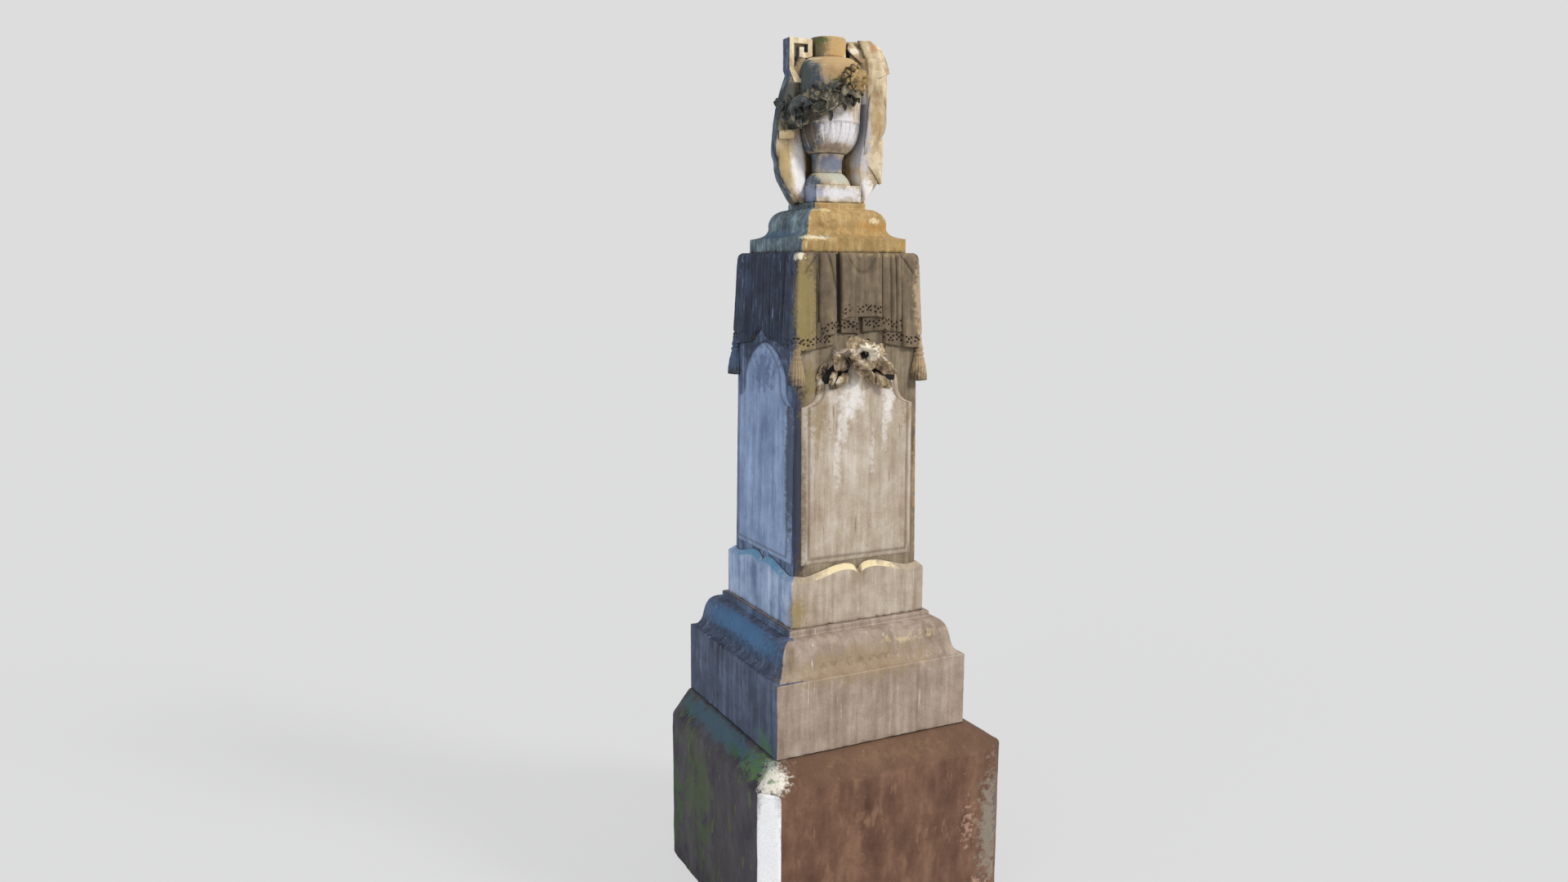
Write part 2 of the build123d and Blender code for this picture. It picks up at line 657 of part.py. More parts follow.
def lily():
    """Open lily with six petals that leans out of the spray."""
    outer = Spline([(LILY_THROAT, 0), (LILY_MOUTH, LILY_LENGTH)], tangents=[(0.1, 1), (1, 0.5)])
    lip = (LILY_MOUTH, LILY_LENGTH + LILY_WALL)
    inner = Spline([lip, (LILY_THROAT, LILY_WALL)], tangents=[(-1, -0.5), (-0.1, -1)])
    base = Polyline((LILY_THROAT, LILY_WALL), (0, LILY_WALL), (0, 0), (LILY_THROAT, 0))
    trumpet = turned([outer, Line((LILY_MOUTH, LILY_LENGTH), lip), inner, base])
    star = Circle(LILY_MOUTH * 0.55)
    for turn in range(6):
        star += Rot(0, 0, 60 * turn) * leaf_face(LILY_MOUTH + 2, LILY_MOUTH * 0.95)
    bloom = trumpet & extrude(star, LILY_LENGTH + LILY_WALL)
    return Pos(LILY_X, -HEM_SHAFT_HALF, LILY_LEVEL) * Rot(90 - LILY_TILT, 0, 0) * bloom


def seated(pieces, name, shape, *others):
    """Keep a piece with what it lies on cut away, so that the two meet face to face."""
    for other in others:
        shape -= pieces[other]
    pieces[name] = shape


def main():
    """Build every piece and write it to its own file."""
    os.makedirs("parts", exist_ok=True)
    die = die_block()
    handles = {"handle_left": handle("left"), "handle_right": handle("right")}
    pieces = {
        "plinth_block": plinth_block(),
        "base_stone": base_stone(),
        "label_stone": label_stone(),
        "die_shaft": on_stack(die),
        "cap_stone": cap_stone(),
        "urn_foot_block": urn_foot_block(),
        "urn_foot": urn_foot(),
        "urn_stem": urn_stem(),
        "urn_bowl": urn_bowl(),
        "urn_neck": urn_neck(),
        **handles,
    }
    for name, shape in faces_round(tablet()).items():
        pieces[f"tablet_{name}"] = on_stack(shape)
    front_hem = HEM_LEVEL + LAYER_HEM_RISE
    front = folds(front_hem) - die - parting(front_hem)
    flank = folds(HEM_LEVEL + SIDE_HEM_RISE) - die - hem_arch(SIDE_ARCH_RISE)
    for (name, high), low in zip(faces_round(front).items(), faces_round(flank).values()):
        pieces[f"cloth_folds_{name}"] = on_stack(high if name in ("front", "back") else low)
    for name, shape in faces_round(panel() - die).items():
        pieces[f"cloth_panel_{name}"] = on_stack(shape)
    for name, shape in corners_round(corner_fall() - die).items():
        pieces[f"cloth_corner_{name}"] = on_stack(shape)
    for name, shape in corners_round(tassel() - die).items():
        pieces[f"tassel_{name}"] = on_stack(shape)
    urn_names = ("cap_stone", "urn_foot_block", "urn_foot", "urn_stem", "urn_bowl", "urn_neck", *handles)
    seated(pieces, "garland", on_urn(garland()), "handle_left")
    seated(pieces, "flower_cluster", on_urn(flower_cluster()), "urn_bowl", "garland")
    seated(pieces, "urn_cloth", on_urn(urn_cloth()), *urn_names, "garland", "flower_cluster")
    seated(pieces, "lily", on_stack(lily()), "die_shaft", "tablet_front", "cloth_folds_front")
    under_spray = ("die_shaft", "tablet_front", "lily", "cloth_folds_front")
    for name, side in (("spray_left", -1), ("spray_right", 1)):
        seated(pieces, name, on_stack(spray_side(side)), *under_spray)
    seated(pieces, "spray_right", pieces["spray_right"], "spray_left")
    for name, shape in pieces.items():
        export_step(shape, f"parts/{name}.step")


if __name__ == "__main__":
    main()
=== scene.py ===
"""Looks of the carved grave monument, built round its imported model.

Sizes are in millimetres from the ground up and are turned to metres as a piece is finished. X runs to the right
along the front, Y to the back and Z up.
"""

import logging
import math
import random
from collections.abc import Callable
from dataclasses import dataclass
from enum import Enum

import bmesh
import bpy
from mathutils import Matrix, Vector, noise

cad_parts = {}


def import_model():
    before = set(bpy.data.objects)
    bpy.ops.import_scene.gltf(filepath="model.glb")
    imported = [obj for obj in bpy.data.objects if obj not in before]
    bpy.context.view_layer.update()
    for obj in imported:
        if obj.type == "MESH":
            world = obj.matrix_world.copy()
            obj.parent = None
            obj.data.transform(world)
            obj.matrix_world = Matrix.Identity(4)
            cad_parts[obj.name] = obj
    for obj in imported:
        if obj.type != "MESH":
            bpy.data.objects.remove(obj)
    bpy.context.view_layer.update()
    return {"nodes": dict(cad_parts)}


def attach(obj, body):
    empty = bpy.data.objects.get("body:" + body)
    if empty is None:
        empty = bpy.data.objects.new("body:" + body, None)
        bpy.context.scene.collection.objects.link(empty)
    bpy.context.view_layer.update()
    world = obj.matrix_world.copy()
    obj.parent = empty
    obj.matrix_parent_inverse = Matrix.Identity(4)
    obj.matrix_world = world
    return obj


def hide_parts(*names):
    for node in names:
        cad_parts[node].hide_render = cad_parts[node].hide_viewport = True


LOG = logging.getLogger("monument")
MM = 0.001
# foot of the upright axis that the stones of the stack and the urn share
STACK = Vector((-30.0, 17.5, 0.0))
# attribute that tells a finish how the carving lies, from which it paints shade into hollows and a highlight on crowns
CARVE = "carve"
# edges that bend more than this stay crisp
CRISP = math.radians(42)

Point = tuple[float, float, float]
Table = tuple[tuple[float, float], ...]
Place = Callable[[float, float], Vector]
Amount = Callable[[float, float], float]
Shape = bmesh.types.BMesh
Socket = bpy.types.NodeSocket


class Quarter(Enum):
    """Place of a piece that is repeated round the square stack, numbered in quarter turns."""

    @property
    def label(self) -> str:
        """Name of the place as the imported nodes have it."""
        return self.name.lower()

    @property
    def turn(self) -> Matrix:
        """Move from the first place, about the stack's axis, to this one."""
        return Matrix.Translation(STACK) @ Matrix.Rotation(math.radians(90 * self.value), 4, "Z")


class Side(Quarter):
    """Side of the stack."""

    FRONT = 0
    RIGHT = 1
    BACK = 2
    LEFT = 3


class Corner(Quarter):
    """Corner of the stack."""

    FRONT_LEFT = 0
    FRONT_RIGHT = 1
    BACK_RIGHT = 2
    BACK_LEFT = 3


# Shaping


def ramp(low: float, high: float, value: float) -> float:
    """Smooth rise from 0 at low to 1 at high."""
    share = min(1.0, max(0.0, (value - low) / (high - low)))
    return share * share * (3 - 2 * share)


def crown(low: float, high: float, value: float, fullness: float = 0.5) -> float:
    """Rounded ridge that stands at 1 halfway between low and high, and at 0 outside them."""
    if not low < value < high:
        return 0.0
    return math.sin(math.pi * (value - low) / (high - low)) ** fullness


def read_off(table: Table, at: float) -> float:
    """Value of a table between its entries, eased from one to the next."""
    if at <= table[0][0]:
        return table[0][1]
    for (start, low), (end, high) in zip(table, table[1:]):
        if at <= end:
            return low + (high - low) * ramp(start, end, at)
    return table[-1][1]


def along(points: list, share: float, closed: bool = False) -> Vector | float:
    """Place on a smooth line through others.

    Args:
        points: numbers or vectors that the line goes through.
        share: how far along it, from 0 to 1.
        closed: whether the line comes back to its start.

    Returns:
        The number or vector there.
    """
    count = len(points) if closed else len(points) - 1
    spot = share * count
    index = min(int(spot), count - 1)
    step = spot - index
    picks = [index - 1, index, index + 1, index + 2]
    if closed:
        a, b, c, d = (points[i % len(points)] for i in picks)
    else:
        a, b, c, d = (points[min(max(i, 0), count)] for i in picks)
    bend = (a * 2 - b * 5 + c * 4 - d) * step**2 + (b * 3 - a - c * 3 + d) * step**3
    return (b * 2 + (c - a) * step + bend) * 0.5


def rough(place: Vector, size: float, seed: float = 0.0) -> float:
    """Uneven height between about -1 and 1 that changes over a given size."""
    return noise.fractal(place / size + Vector((seed, seed, seed)), 0.9, 2.1, 3)


def split_rise(up: float, share: float, low: float, middle: float, high: float) -> float:
    """Height for a share of the rows.

    Args:
        up: share of the rows, from 0 to 1.
        share: how much of the rows the part under the middle takes.
        low: height of the first row.
        middle: height where the finer rows end.
        high: height of the last row.

    Returns:
        The height.
    """
    if up < share:
        return low + (middle - low) * up / share
    return middle + (high - middle) * (up - share) / (1 - share)


def mapped_grid(columns: int, rows: int, place: Place, shade: Amount | None = None) -> Shape:
    """Sheet whose points go where a function of its two shares says.

    Args:
        columns: faces across.
        rows: faces up.
        place: point for the share across and the share up, each from 0 to 1.
        shade: the carve attribute for the same two shares, -1 in a hollow to 1 on a crown.

    Returns:
        The open sheet.
    """
    bm = bmesh.new()
    layer = bm.verts.layers.float.new(CARVE)
    bmesh.ops.create_grid(bm, x_segments=columns, y_segments=rows, size=0.5)
    for vert in bm.verts:
        across, up = vert.co.x + 0.5, vert.co.y + 0.5
        vert[layer] = shade(across, up) if shade else 0.0
        vert.co = place(across, up)
    return bm


def weld(bm: Shape, gap: float = 0.02) -> None:
    """Join seams and poles, fill what is open and turn the faces outwards."""
    bmesh.ops.remove_doubles(bm, verts=bm.verts, dist=gap)
    rims = [edge for edge in bm.edges if edge.is_boundary]
    if rims:
        bmesh.ops.holes_fill(bm, edges=rims, sides=0)
    bmesh.ops.recalc_face_normals(bm, faces=bm.faces)


def back_up(bm: Shape, depth: float) -> None:
    """Give a sheet that hangs round the stack's axis its thickness, towards the axis."""
    rims = [edge for edge in bm.edges if edge.is_boundary]
    grown = bmesh.ops.extrude_edge_only(bm, edges=rims)
    for vert in grown["geom"]:
        if isinstance(vert, bmesh.types.BMVert):
            reach = math.hypot(vert.co.x, vert.co.y)
            vert.co.x *= 1 - depth / reach
            vert.co.y *= 1 - depth / reach
    weld(bm)


def absorb(bm: Shape, other: Shape) -> None:
    """Add a second shape to the first and let go of it."""
    mesh = bpy.data.meshes.new("loose")
    other.to_mesh(mesh)
    other.free()
    bm.from_mesh(mesh)
    bpy.data.meshes.remove(mesh)


def put_in_scene(name: str, data: bpy.types.ID) -> bpy.types.Object:
    """Make an object of a mesh, lamp or camera and link it to the scene."""
    thing = bpy.data.objects.new(name, data)
    bpy.context.scene.collection.objects.link(thing)
    return thing


def finish_piece(bm: Shape, name: str, finish: bpy.types.Material, nodes: list[str], slot: str) -> None:
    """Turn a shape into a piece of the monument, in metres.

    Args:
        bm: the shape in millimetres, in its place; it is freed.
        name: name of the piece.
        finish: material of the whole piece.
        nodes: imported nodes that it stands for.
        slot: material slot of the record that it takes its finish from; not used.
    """
    for face in bm.faces:
        face.smooth = True
    bmesh.ops.scale(bm, vec=(MM, MM, MM), verts=bm.verts)
    mesh = bpy.data.meshes.new(name)
    bm.to_mesh(mesh)
    bm.free()
    mesh.set_sharp_from_angle(angle=CRISP)
    mesh.materials.append(finish)
    piece = put_in_scene(name, mesh)
    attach(piece, "root")
    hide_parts(*nodes)
    LOG.info("%s: %d faces", name, len(mesh.polygons))


# Finishes


def srgb(colour: str) -> tuple[float, float, float, float]:
    """Turn an sRGB hex colour into linear RGBA."""
    parts = [int(colour[i : i + 2], 16) / 255 for i in (1, 3, 5)]
    linear = [c / 12.92 if c <= 0.04045 else ((c + 0.055) / 1.055) ** 2.4 for c in parts]
    return (*linear, 1.0)


class Graph:
    """Node tree of one material or world, filled a node at a time."""

    def __init__(self, owner: bpy.types.Material | bpy.types.World) -> None:
        """Start with an empty tree."""
        owner.use_nodes = True
        self.tree = owner.node_tree
        self.tree.nodes.clear()

    def add(self, kind: str, links: dict | None = None, **settings: object) -> bpy.types.Node:
        """Add a node with its settings and links.

        Args:
            kind: node type without its ShaderNode prefix.
            links: input name or number to the output or constant that it takes.
            settings: attributes of the node.

        Returns:
            The new node.
        """
        node = self.tree.nodes.new("ShaderNode" + kind)
        for key, value in settings.items():
            setattr(node, key, value)
        for key, value in (links or {}).items():
            if isinstance(value, Socket):
                self.tree.links.new(value, node.inputs[key])
            else:
                node.inputs[key].default_value = value
        return node


class StoneGraph(Graph):
    """Node tree of a stone's material, with where a point is and which way it faces."""

    def __init__(self, material: bpy.types.Material) -> None:
        """Start with the object coordinates and the normal."""
        super().__init__(material)
        self.place = self.add("TexCoord").outputs["Object"]
        self.normal = self.add("NewGeometry").outputs["Normal"]
        self.facing = self.add("SeparateXYZ", {0: self.normal})


@dataclass(frozen=True)
class Palette:
    """Colours of weathered stone on one kind of aspect: the sunny one, or the shaded one, whose colours are painted
    shade.
    """

    dark: str
    middle: str
    pale: str
    drip: str
    growth: str
    hollow: str


@dataclass(frozen=True)
class Wash:
    """Stain, growth, bleaching, painted shade or painted highlight that sits at one place.

    Its centre, its reach and the grain of its broken edge are in millimetres. One with a facing keeps to the faces
    that look that way.
    """

    colour: str
    centre: Point
    reach: Point
    amount: float = 0.85
    broken: float = 0.5
    grain: float = 30.0
    facing: Point | None = None


# nearly all of a noise texture lies in this range
NOISE_RANGE = {"From Min": 0.3, "From Max": 0.7}
# where a palette's dark, middle and pale stand on the tone from 0 to 1
TONES = (0.22, 0.5, 0.80)
STONE_IOR = 1.48


@dataclass(frozen=True)
class WeatheredStone:
    """Carved stone left out for a century, soiled by rain, lichen and moss.

    The sunny aspects are warm and streaked; the left aspect takes a blue-grey palette that is painted shade. Hollows
    take sooty grime and painted shade; crowns take a painted highlight.
    """

    name: str
    sunny: Palette
    painted_shade: Palette
    washes: tuple[Wash, ...] = ()
    # slow patches, streaks, spots of growth, grains and the swell of the face, in millimetres
    patch: float = 80.0
    streak: float = 22.0
    growth_size: float = 28.0
    grain: float = 3.0
    grain_height: float = 0.5
    swell: float = 14.0
    swell_height: float = 1.6
    # how much shorter a streak's noise is along its length
    streak_stretch: float = 0.10
    # noise over which drips and growth show, and how far dark and pale part
    drip_cut: float = 0.62
    growth_cut: float = 0.60
    contrast: float = 1.0
    # colour laid on the level faces of the sunny aspects, if any, and how much of it there is
    ledge: str = ""
    ledge_share: float = 0.75
    # the painted-shade palette sits left of a place in millimetres, on faces that look left, and also on faces that
    # look to the back where the front weight is 1
    shade_from: float = 5000.0
    shade_limit: float = 0.5
    shade_front: float = 1.0
    # brightness of the painted highlight and wear on crowns, amount of soot and painted shade in hollows, and the
    # openness under which they gather
    crown_highlight: float = 1.35
    soot_and_shade: float = 0.8
    soot_and_shade_from: float = 0.55
    roughness: float = 0.85

    def build(self) -> bpy.types.Material:
        """Make the material.

        Returns:
            The finished material.
        """
        material = bpy.data.materials.new(self.name)
        g = StoneGraph(material)
        place = g.place
        colour = self.aspects(g)
        for wash in self.washes:
            colour = self.lay_wash(g, wash, colour)
        colour = self.hollows(g, colour)
        grit = g.add("TexNoise", {"Vector": place, "Scale": 1 / (self.grain * MM), "Detail": 4.0, "Roughness": 0.7})
        speck = g.add("MapRange", {"Value": grit.outputs["Fac"], **NOISE_RANGE, "To Min": 0.80, "To Max": 1.16})
        grained = g.add("VectorMath", {0: colour, 1: speck.outputs[0]}, operation="MULTIPLY").outputs[0]
        swell = g.add("TexNoise", {"Vector": place, "Scale": 1 / (self.swell * MM), "Detail": 4.0, "Roughness": 0.6})
        fine = g.add("Bump", {"Height": grit.outputs["Fac"], "Distance": self.grain_height * MM, "Strength": 0.8})
        waves = {"Height": swell.outputs["Fac"], "Distance": self.swell_height * MM, "Normal": fine.outputs[0]}
        coarse = g.add("Bump", waves)
        look = {"Base Color": grained, "Roughness": self.roughness, "IOR": STONE_IOR, "Normal": coarse.outputs[0]}
        shader = g.add("BsdfPrincipled", look)
        g.add("OutputMaterial", {"Surface": shader.outputs[0]})
        return material

    def aspects(self, g: StoneGraph) -> Socket:
        """Colour of the sunny aspects and of the left one in painted shade, mixed by where the surface faces.

        Args:
            g: the material being made.

        Returns:
            The mixed colour.
        """
        tone, drips, spots = self.patterns(g)
        colours = []
        for palette in (self.sunny, self.painted_shade):
            bands = g.add("ValToRGB", {0: tone})
            elements = bands.color_ramp.elements
            elements[0].position, elements[0].color = TONES[0], srgb(palette.dark)
            elements[1].position, elements[1].color = TONES[2], srgb(palette.pale)
            elements.new(TONES[1]).color = srgb(palette.middle)
            dripped = g.add("Mix", {0: drips, 6: bands.outputs[0], 7: srgb(palette.drip)}, data_type="RGBA")
            grown = g.add("Mix", {0: spots, 6: dripped.outputs[2], 7: srgb(palette.growth)}, data_type="RGBA")
            colours.append(grown.outputs[2])
        # the left aspect takes the painted-shade palette
        painted_shade = self.painted_shade_share(g)
        both = g.add("Mix", {0: painted_shade, 6: colours[0], 7: colours[1]}, data_type="RGBA").outputs[2]
        if not self.ledge:
            return both
        level = {"Value": g.facing.outputs["Z"], "From Min": 0.25, "From Max": 0.75, "To Max": self.ledge_share}
        flat = g.add("MapRange", level)
        sunny = g.add("Math", {0: 1.0, 1: painted_shade}, operation="SUBTRACT")
        share = g.add("Math", {0: flat.outputs[0], 1: sunny.outputs[0]}, operation="MULTIPLY")
        return g.add("Mix", {0: share.outputs[0], 6: both, 7: srgb(self.ledge)}, data_type="RGBA").outputs[2]

    def painted_shade_share(self, g: StoneGraph) -> Socket:
        """Share of the aspect in painted shade, from 0 to 1, with an uneven edge.

        Args:
            g: the material being made.

        Returns:
            The share.
        """
        uneven = g.add("TexNoise", {"Vector": g.place, "Scale": 1 / (16 * MM), "Detail": 4.0})
        nudge = g.add("MapRange", {"Value": uneven.outputs["Fac"], **NOISE_RANGE, "To Min": -0.1, "To Max": 0.1})
        side = g.add("Math", {0: g.facing.outputs["Y"], 1: -self.shade_front}, operation="MULTIPLY")
        lean = g.add("Math", {0: g.facing.outputs["X"], 1: side.outputs[0]}, operation="ADD")
        lean = g.add("Math", {0: lean.outputs[0], 1: nudge.outputs[0]}, operation="ADD")
        edge = self.shade_limit
        leaning = g.add("MapRange", {"Value": lean.outputs[0], "From Min": edge, "From Max": edge - 0.22})
        across = g.add("SeparateXYZ", {0: g.place}).outputs["X"]
        start, soft = self.shade_from * MM, 4 * MM
        sited = g.add("MapRange", {"Value": across, "From Min": start + soft, "From Max": start - soft})
        return g.add("Math", {0: leaning.outputs[0], 1: sited.outputs[0]}, operation="MULTIPLY").outputs[0]

    def patterns(self, g: StoneGraph) -> tuple[Socket, Socket, Socket]:
        """Tone, drips and spots of growth, each from 0 to 1.

        Args:
            g: the material being made.

        Returns:
            The three shares.
        """
        place = g.place
        pulled = g.add("Mapping", {"Vector": place, "Scale": (1.0, 1.0, self.streak_stretch)}).outputs[0]
        patches, streaks, thin, spots = (
            g.add("TexNoise", {"Vector": where, "Scale": 1 / (size * MM), "Detail": detail, "Roughness": roughness})
            for where, size, detail, roughness in (
                (place, self.patch, 7.0, 0.65),
                (pulled, self.streak, 5.0, 0.6),
                (pulled, self.streak * 0.45, 3.0, 0.5),
                (place, self.growth_size, 6.0, 0.7),
            )
        )
        half = g.add("Math", {0: patches.outputs["Fac"], 1: streaks.outputs["Fac"]}, operation="ADD")
        spread = 0.40 / self.contrast
        tone = g.add("MapRange", {"Value": half.outputs[0], "From Min": 1 - spread, "From Max": 1 + spread})
        cut = self.drip_cut
        drips = g.add("MapRange", {"Value": thin.outputs["Fac"], "From Min": cut, "From Max": cut + 0.1})
        cut = self.growth_cut
        rising = {"Value": spots.outputs["Fac"], "From Min": cut, "From Max": cut + 0.07, "To Max": 0.85}
        grown = g.add("MapRange", rising)
        return tone.outputs[0], drips.outputs[0], grown.outputs[0]

    def lay_wash(self, g: StoneGraph, wash: Wash, under: Socket) -> Socket:
        """Lay one wash over the colour so far.

        Args:
            g: the material being made.
            wash: the wash.
            under: colour so far.

        Returns:
            The colour with the wash on it.
        """
        centre = tuple(v * MM for v in wash.centre)
        reach = tuple(v * MM for v in wash.reach)
        away = g.add("VectorMath", {0: g.place, 1: centre}, operation="SUBTRACT")
        shares = g.add("VectorMath", {0: away.outputs[0], 1: reach}, operation="DIVIDE")
        far = g.add("VectorMath", {0: shares.outputs[0]}, operation="LENGTH").outputs["Value"]
        fine = {"Vector": g.place, "Scale": 1 / (wash.grain * MM), "Detail": 6.0, "Roughness": 0.7}
        crumbs = g.add("TexNoise", fine)
        push = g.add("MapRange", {"Value": crumbs.outputs["Fac"], **NOISE_RANGE, "To Max": 2 * wash.broken})
        edge = g.add("Math", {0: far, 1: push.outputs[0]}, operation="ADD")
        fading = {"Value": edge.outputs[0], "From Min": 1.25, "From Max": 0.85, "To Max": wash.amount}
        share = g.add("MapRange", fading)
        if wash.facing:
            turned = g.add("VectorMath", {0: g.normal, 1: wash.facing}, operation="DOT_PRODUCT").outputs["Value"]
            seen = g.add("MapRange", {"Value": turned, "From Min": 0.84, "From Max": 0.92})
            share = g.add("Math", {0: share.outputs[0], 1: seen.outputs[0]}, operation="MULTIPLY")
        return g.add("Mix", {0: share.outputs[0], 6: under, 7: srgb(wash.colour)}, data_type="RGBA").outputs[2]

    def hollows(self, g: StoneGraph, under: Socket) -> Socket:
        """Darken the hollows with sooty grime and painted shade, from ambient occlusion and the carve attribute, and
        brighten crowns with wear and a painted highlight.

        Args:
            g: the material being made.
            under: colour so far.

        Returns:
            The shaded colour.
        """
        carve = g.add("Attribute", attribute_name=CARVE).outputs["Fac"]
        # ambient occlusion paints shade into hollows; the carve attribute paints shade into hollows and a highlight on
        # crowns
        shut = g.add("AmbientOcclusion", {"Distance": 30 * MM}, samples=6).outputs["AO"]
        limit = self.soot_and_shade_from
        deep = g.add("MapRange", {"Value": shut, "From Min": limit, "From Max": limit - 0.35, "To Max": self.soot_and_shade})
        low = g.add("MapRange", {"Value": carve, "From Min": 0.0, "From Max": -1.0})
        both = g.add("Math", {0: deep.outputs[0], 1: low.outputs[0]}, operation="MAXIMUM").outputs[0]
        rising = {"Value": carve, "From Min": 0.1, "From Max": 1.0, "To Min": 1.0, "To Max": self.crown_highlight}
        high = g.add("MapRange", rising)
        worn_and_lit = g.add("VectorMath", {0: under, "Scale": high.outputs[0]}, operation="SCALE").outputs[0]
        return g.add("Mix", {0: both, 6: worn_and_lit, 7: srgb(self.sunny.hollow)}, data_type="RGBA").outputs[2]


# Pieces


@dataclass(frozen=True)
class DressedStone:
    """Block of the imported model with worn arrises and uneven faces, sizes in millimetres."""

    node: str
    finish: bpy.types.Material
    slot: str
    # width of the worn arrises, and size of the squares that the faces are cut into
    arris: float = 3.0
    pitch: float = 14.0
    # depth and size of the hollows worn into the faces, and of the chips along the arrises
    wear: float = 0.7
    wear_size: float = 60.0
    chip: float = 2.0
    chip_size: float = 16.0
    # centre, radius and depth of the places that are broken out
    notches: tuple[tuple[Point, float, float], ...] = ()
    # centre and size of a plate let into the block's openings
    web: tuple[Point, Point] | None = None

    def build(self, nodes: dict) -> None:
        """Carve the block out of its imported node.

        Args:
            nodes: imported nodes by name.
        """
        bm = bmesh.new()
        bm.from_mesh(nodes[self.node].data)
        bmesh.ops.scale(bm, vec=(1 / MM, 1 / MM, 1 / MM), verts=bm.verts)
        bmesh.ops.remove_doubles(bm, verts=bm.verts, dist=0.02)
        bmesh.ops.dissolve_limit(
            bm, angle_limit=math.radians(0.4), use_dissolve_boundaries=False, verts=bm.verts, edges=bm.edges
        )
        sharp = [e for e in bm.edges if e.is_manifold and e.calc_face_angle() > math.radians(24)]
        bmesh.ops.bevel(
            bm, geom=sharp, offset=self.arris, offset_type="OFFSET", segments=3, profile=0.5, affect="EDGES",
            clamp_overlap=True, material=-1,
        )
        if self.web:
            centre, size = self.web
            place = Matrix.Translation(centre) @ Matrix.Diagonal((*size, 1))
            bmesh.ops.create_cube(bm, size=1.0, matrix=place)
        self.slice(bm)
        self.wear_down(bm)
        finish_piece(bm, f"{self.node}_stone", self.finish, [self.node], self.slot)

    def slice(self, bm: Shape) -> None:
        """Cut the block's faces into small squares, so that they can wear unevenly."""
        for axis in range(3):
            low = min(v.co[axis] for v in bm.verts)
            high = max(v.co[axis] for v in bm.verts)
            count = max(1, round((high - low) / self.pitch))
            facing = Vector((0, 0, 0))
            facing[axis] = 1
            for step in range(1, count):
                level = Vector((0, 0, 0))
                level[axis] = low + (high - low) * step / count
                everything = bm.verts[:] + bm.edges[:] + bm.faces[:]
                bmesh.ops.bisect_plane(bm, geom=everything, dist=0.01, plane_co=level, plane_no=facing)

    def wear_down(self, bm: Shape) -> None:
        """Sink the faces unevenly, chip the arrises and bite out the notches."""
        bm.normal_update()
        layer = bm.verts.layers.float.new(CARVE)
        moves = []
        for vert in bm.verts:
            bend = max((1 - vert.normal.dot(face.normal) for face in vert.link_faces), default=0.0)
            arris = ramp(0.004, 0.03, bend)
            # pale arrises through the carve attribute: partly wear, partly a painted highlight
            vert[layer] = arris * (0.55 + 0.45 * rough(vert.co, 26.0, 5.0))
            depth = self.wear * (0.5 + 0.5 * rough(vert.co, self.wear_size))
            depth += self.chip * arris * max(0.0, rough(vert.co, self.chip_size, 7.0) - 0.05)
            for centre, radius, bite in self.notches:
                near = (vert.co - Vector(centre)).length + 0.35 * radius * rough(vert.co, radius * 0.6, 3.0)
                depth += bite * ramp(radius, radius * 0.45, near) if near < radius else 0.0
            moves.append(vert.co - vert.normal * depth)
        for vert, place in zip(bm.verts, moves):
            vert.co = place


@dataclass(frozen=True)
class ArchedTablet:
    """Raised tablet on a leaning face of the die: square below, coved at the shoulders and arched above."""

    finish: bpy.types.Material
    # the die's face at the tablet's foot, from the axis, and how much it leans in for each millimetre of height
    foot: float = 1212.0
    face: float = 227.9
    lean: float = 0.0092
    # half width, height of the square part and of the whole, and radius of the coved shoulders
    half: float = 206.5
    straight: float = 513.0
    cove: float = 55.0
    peak: float = 705.0
    # how far the field stands out, the bevelled border, the groove inside it and the thickness behind the face
    proud: float = 12.0
    border: float = 20.0
    groove: tuple[float, float] = (17.0, 27.0)
    groove_depth: float = 3.0
    depth: float = 14.0
    # share of the rows that the square part takes
    straight_rows: float = 0.45

    def reach(self, rise: float) -> float:
        """Half of the tablet's width at a height over its foot."""
        if rise <= self.straight:
            return self.half
        over = rise - self.straight
        if over < self.cove:
            return self.half - math.sqrt(self.cove**2 - (self.cove - over) ** 2)
        share = (over - self.cove) / (self.peak - self.straight - self.cove)
        return (self.half - self.cove) * max(0.0, 1 - share**1.9) ** 0.62

    def inset(self, x: float, rise: float) -> float:
        """Distance of a point from the tablet's outline, taken level or upright."""
        return min(self.reach(rise) - abs(x), rise)

    def height(self, x: float, rise: float) -> float:
        """How far the tablet stands out: a bevelled border, a fine groove inside it and the flat field."""
        away = self.inset(x, rise)
        field = 1 + (self.proud - 1) * min(1.0, away / self.border)
        return field - self.groove_depth * crown(*self.groove, away, 1.0)

    def carve(self) -> Shape:
        """Carve the tablet on the front.

        Returns:
            The closed tablet, round the stack's axis.
        """

        def spot(across: float, up: float) -> tuple[float, float]:
            """Level place and height over the foot of a point of the grid."""
            rise = split_rise(up, self.straight_rows, 0.0, self.straight, self.peak)
            share = 2 * across - 1 + 0.14 * math.sin(math.tau * across)
            return share * self.reach(rise), rise

        def place(across: float, up: float) -> Vector:
            """Point of the tablet."""
            x, rise = spot(across, up)
            wear = 0.5 * rough(Vector((x, 0, rise)), 40.0) + 0.5
            out = self.face - self.lean * rise + self.height(x, rise) - wear
            return Vector((x, -out, self.foot + rise))

        def shade(across: float, up: float) -> float:
            """Painted shade in the groove and along the outline, and a painted highlight just inside the border."""
            away = self.inset(*spot(across, up))
            return 0.4 * crown(5, 15, away) - 0.75 * crown(*self.groove, away, 1.0) - 0.5 * ramp(4, 0, away)

        bm = mapped_grid(76, 116, place, shade)
        back_up(bm, self.depth)
        return bm

    def build(self) -> None:
        """Build the four tablets."""
        for side in Side:
            bm = self.carve()
            bm.transform(side.turn)
            finish_piece(bm, f"arched_tablet_{side.label}", self.finish, [f"tablet_{side.label}"], "die_marble")


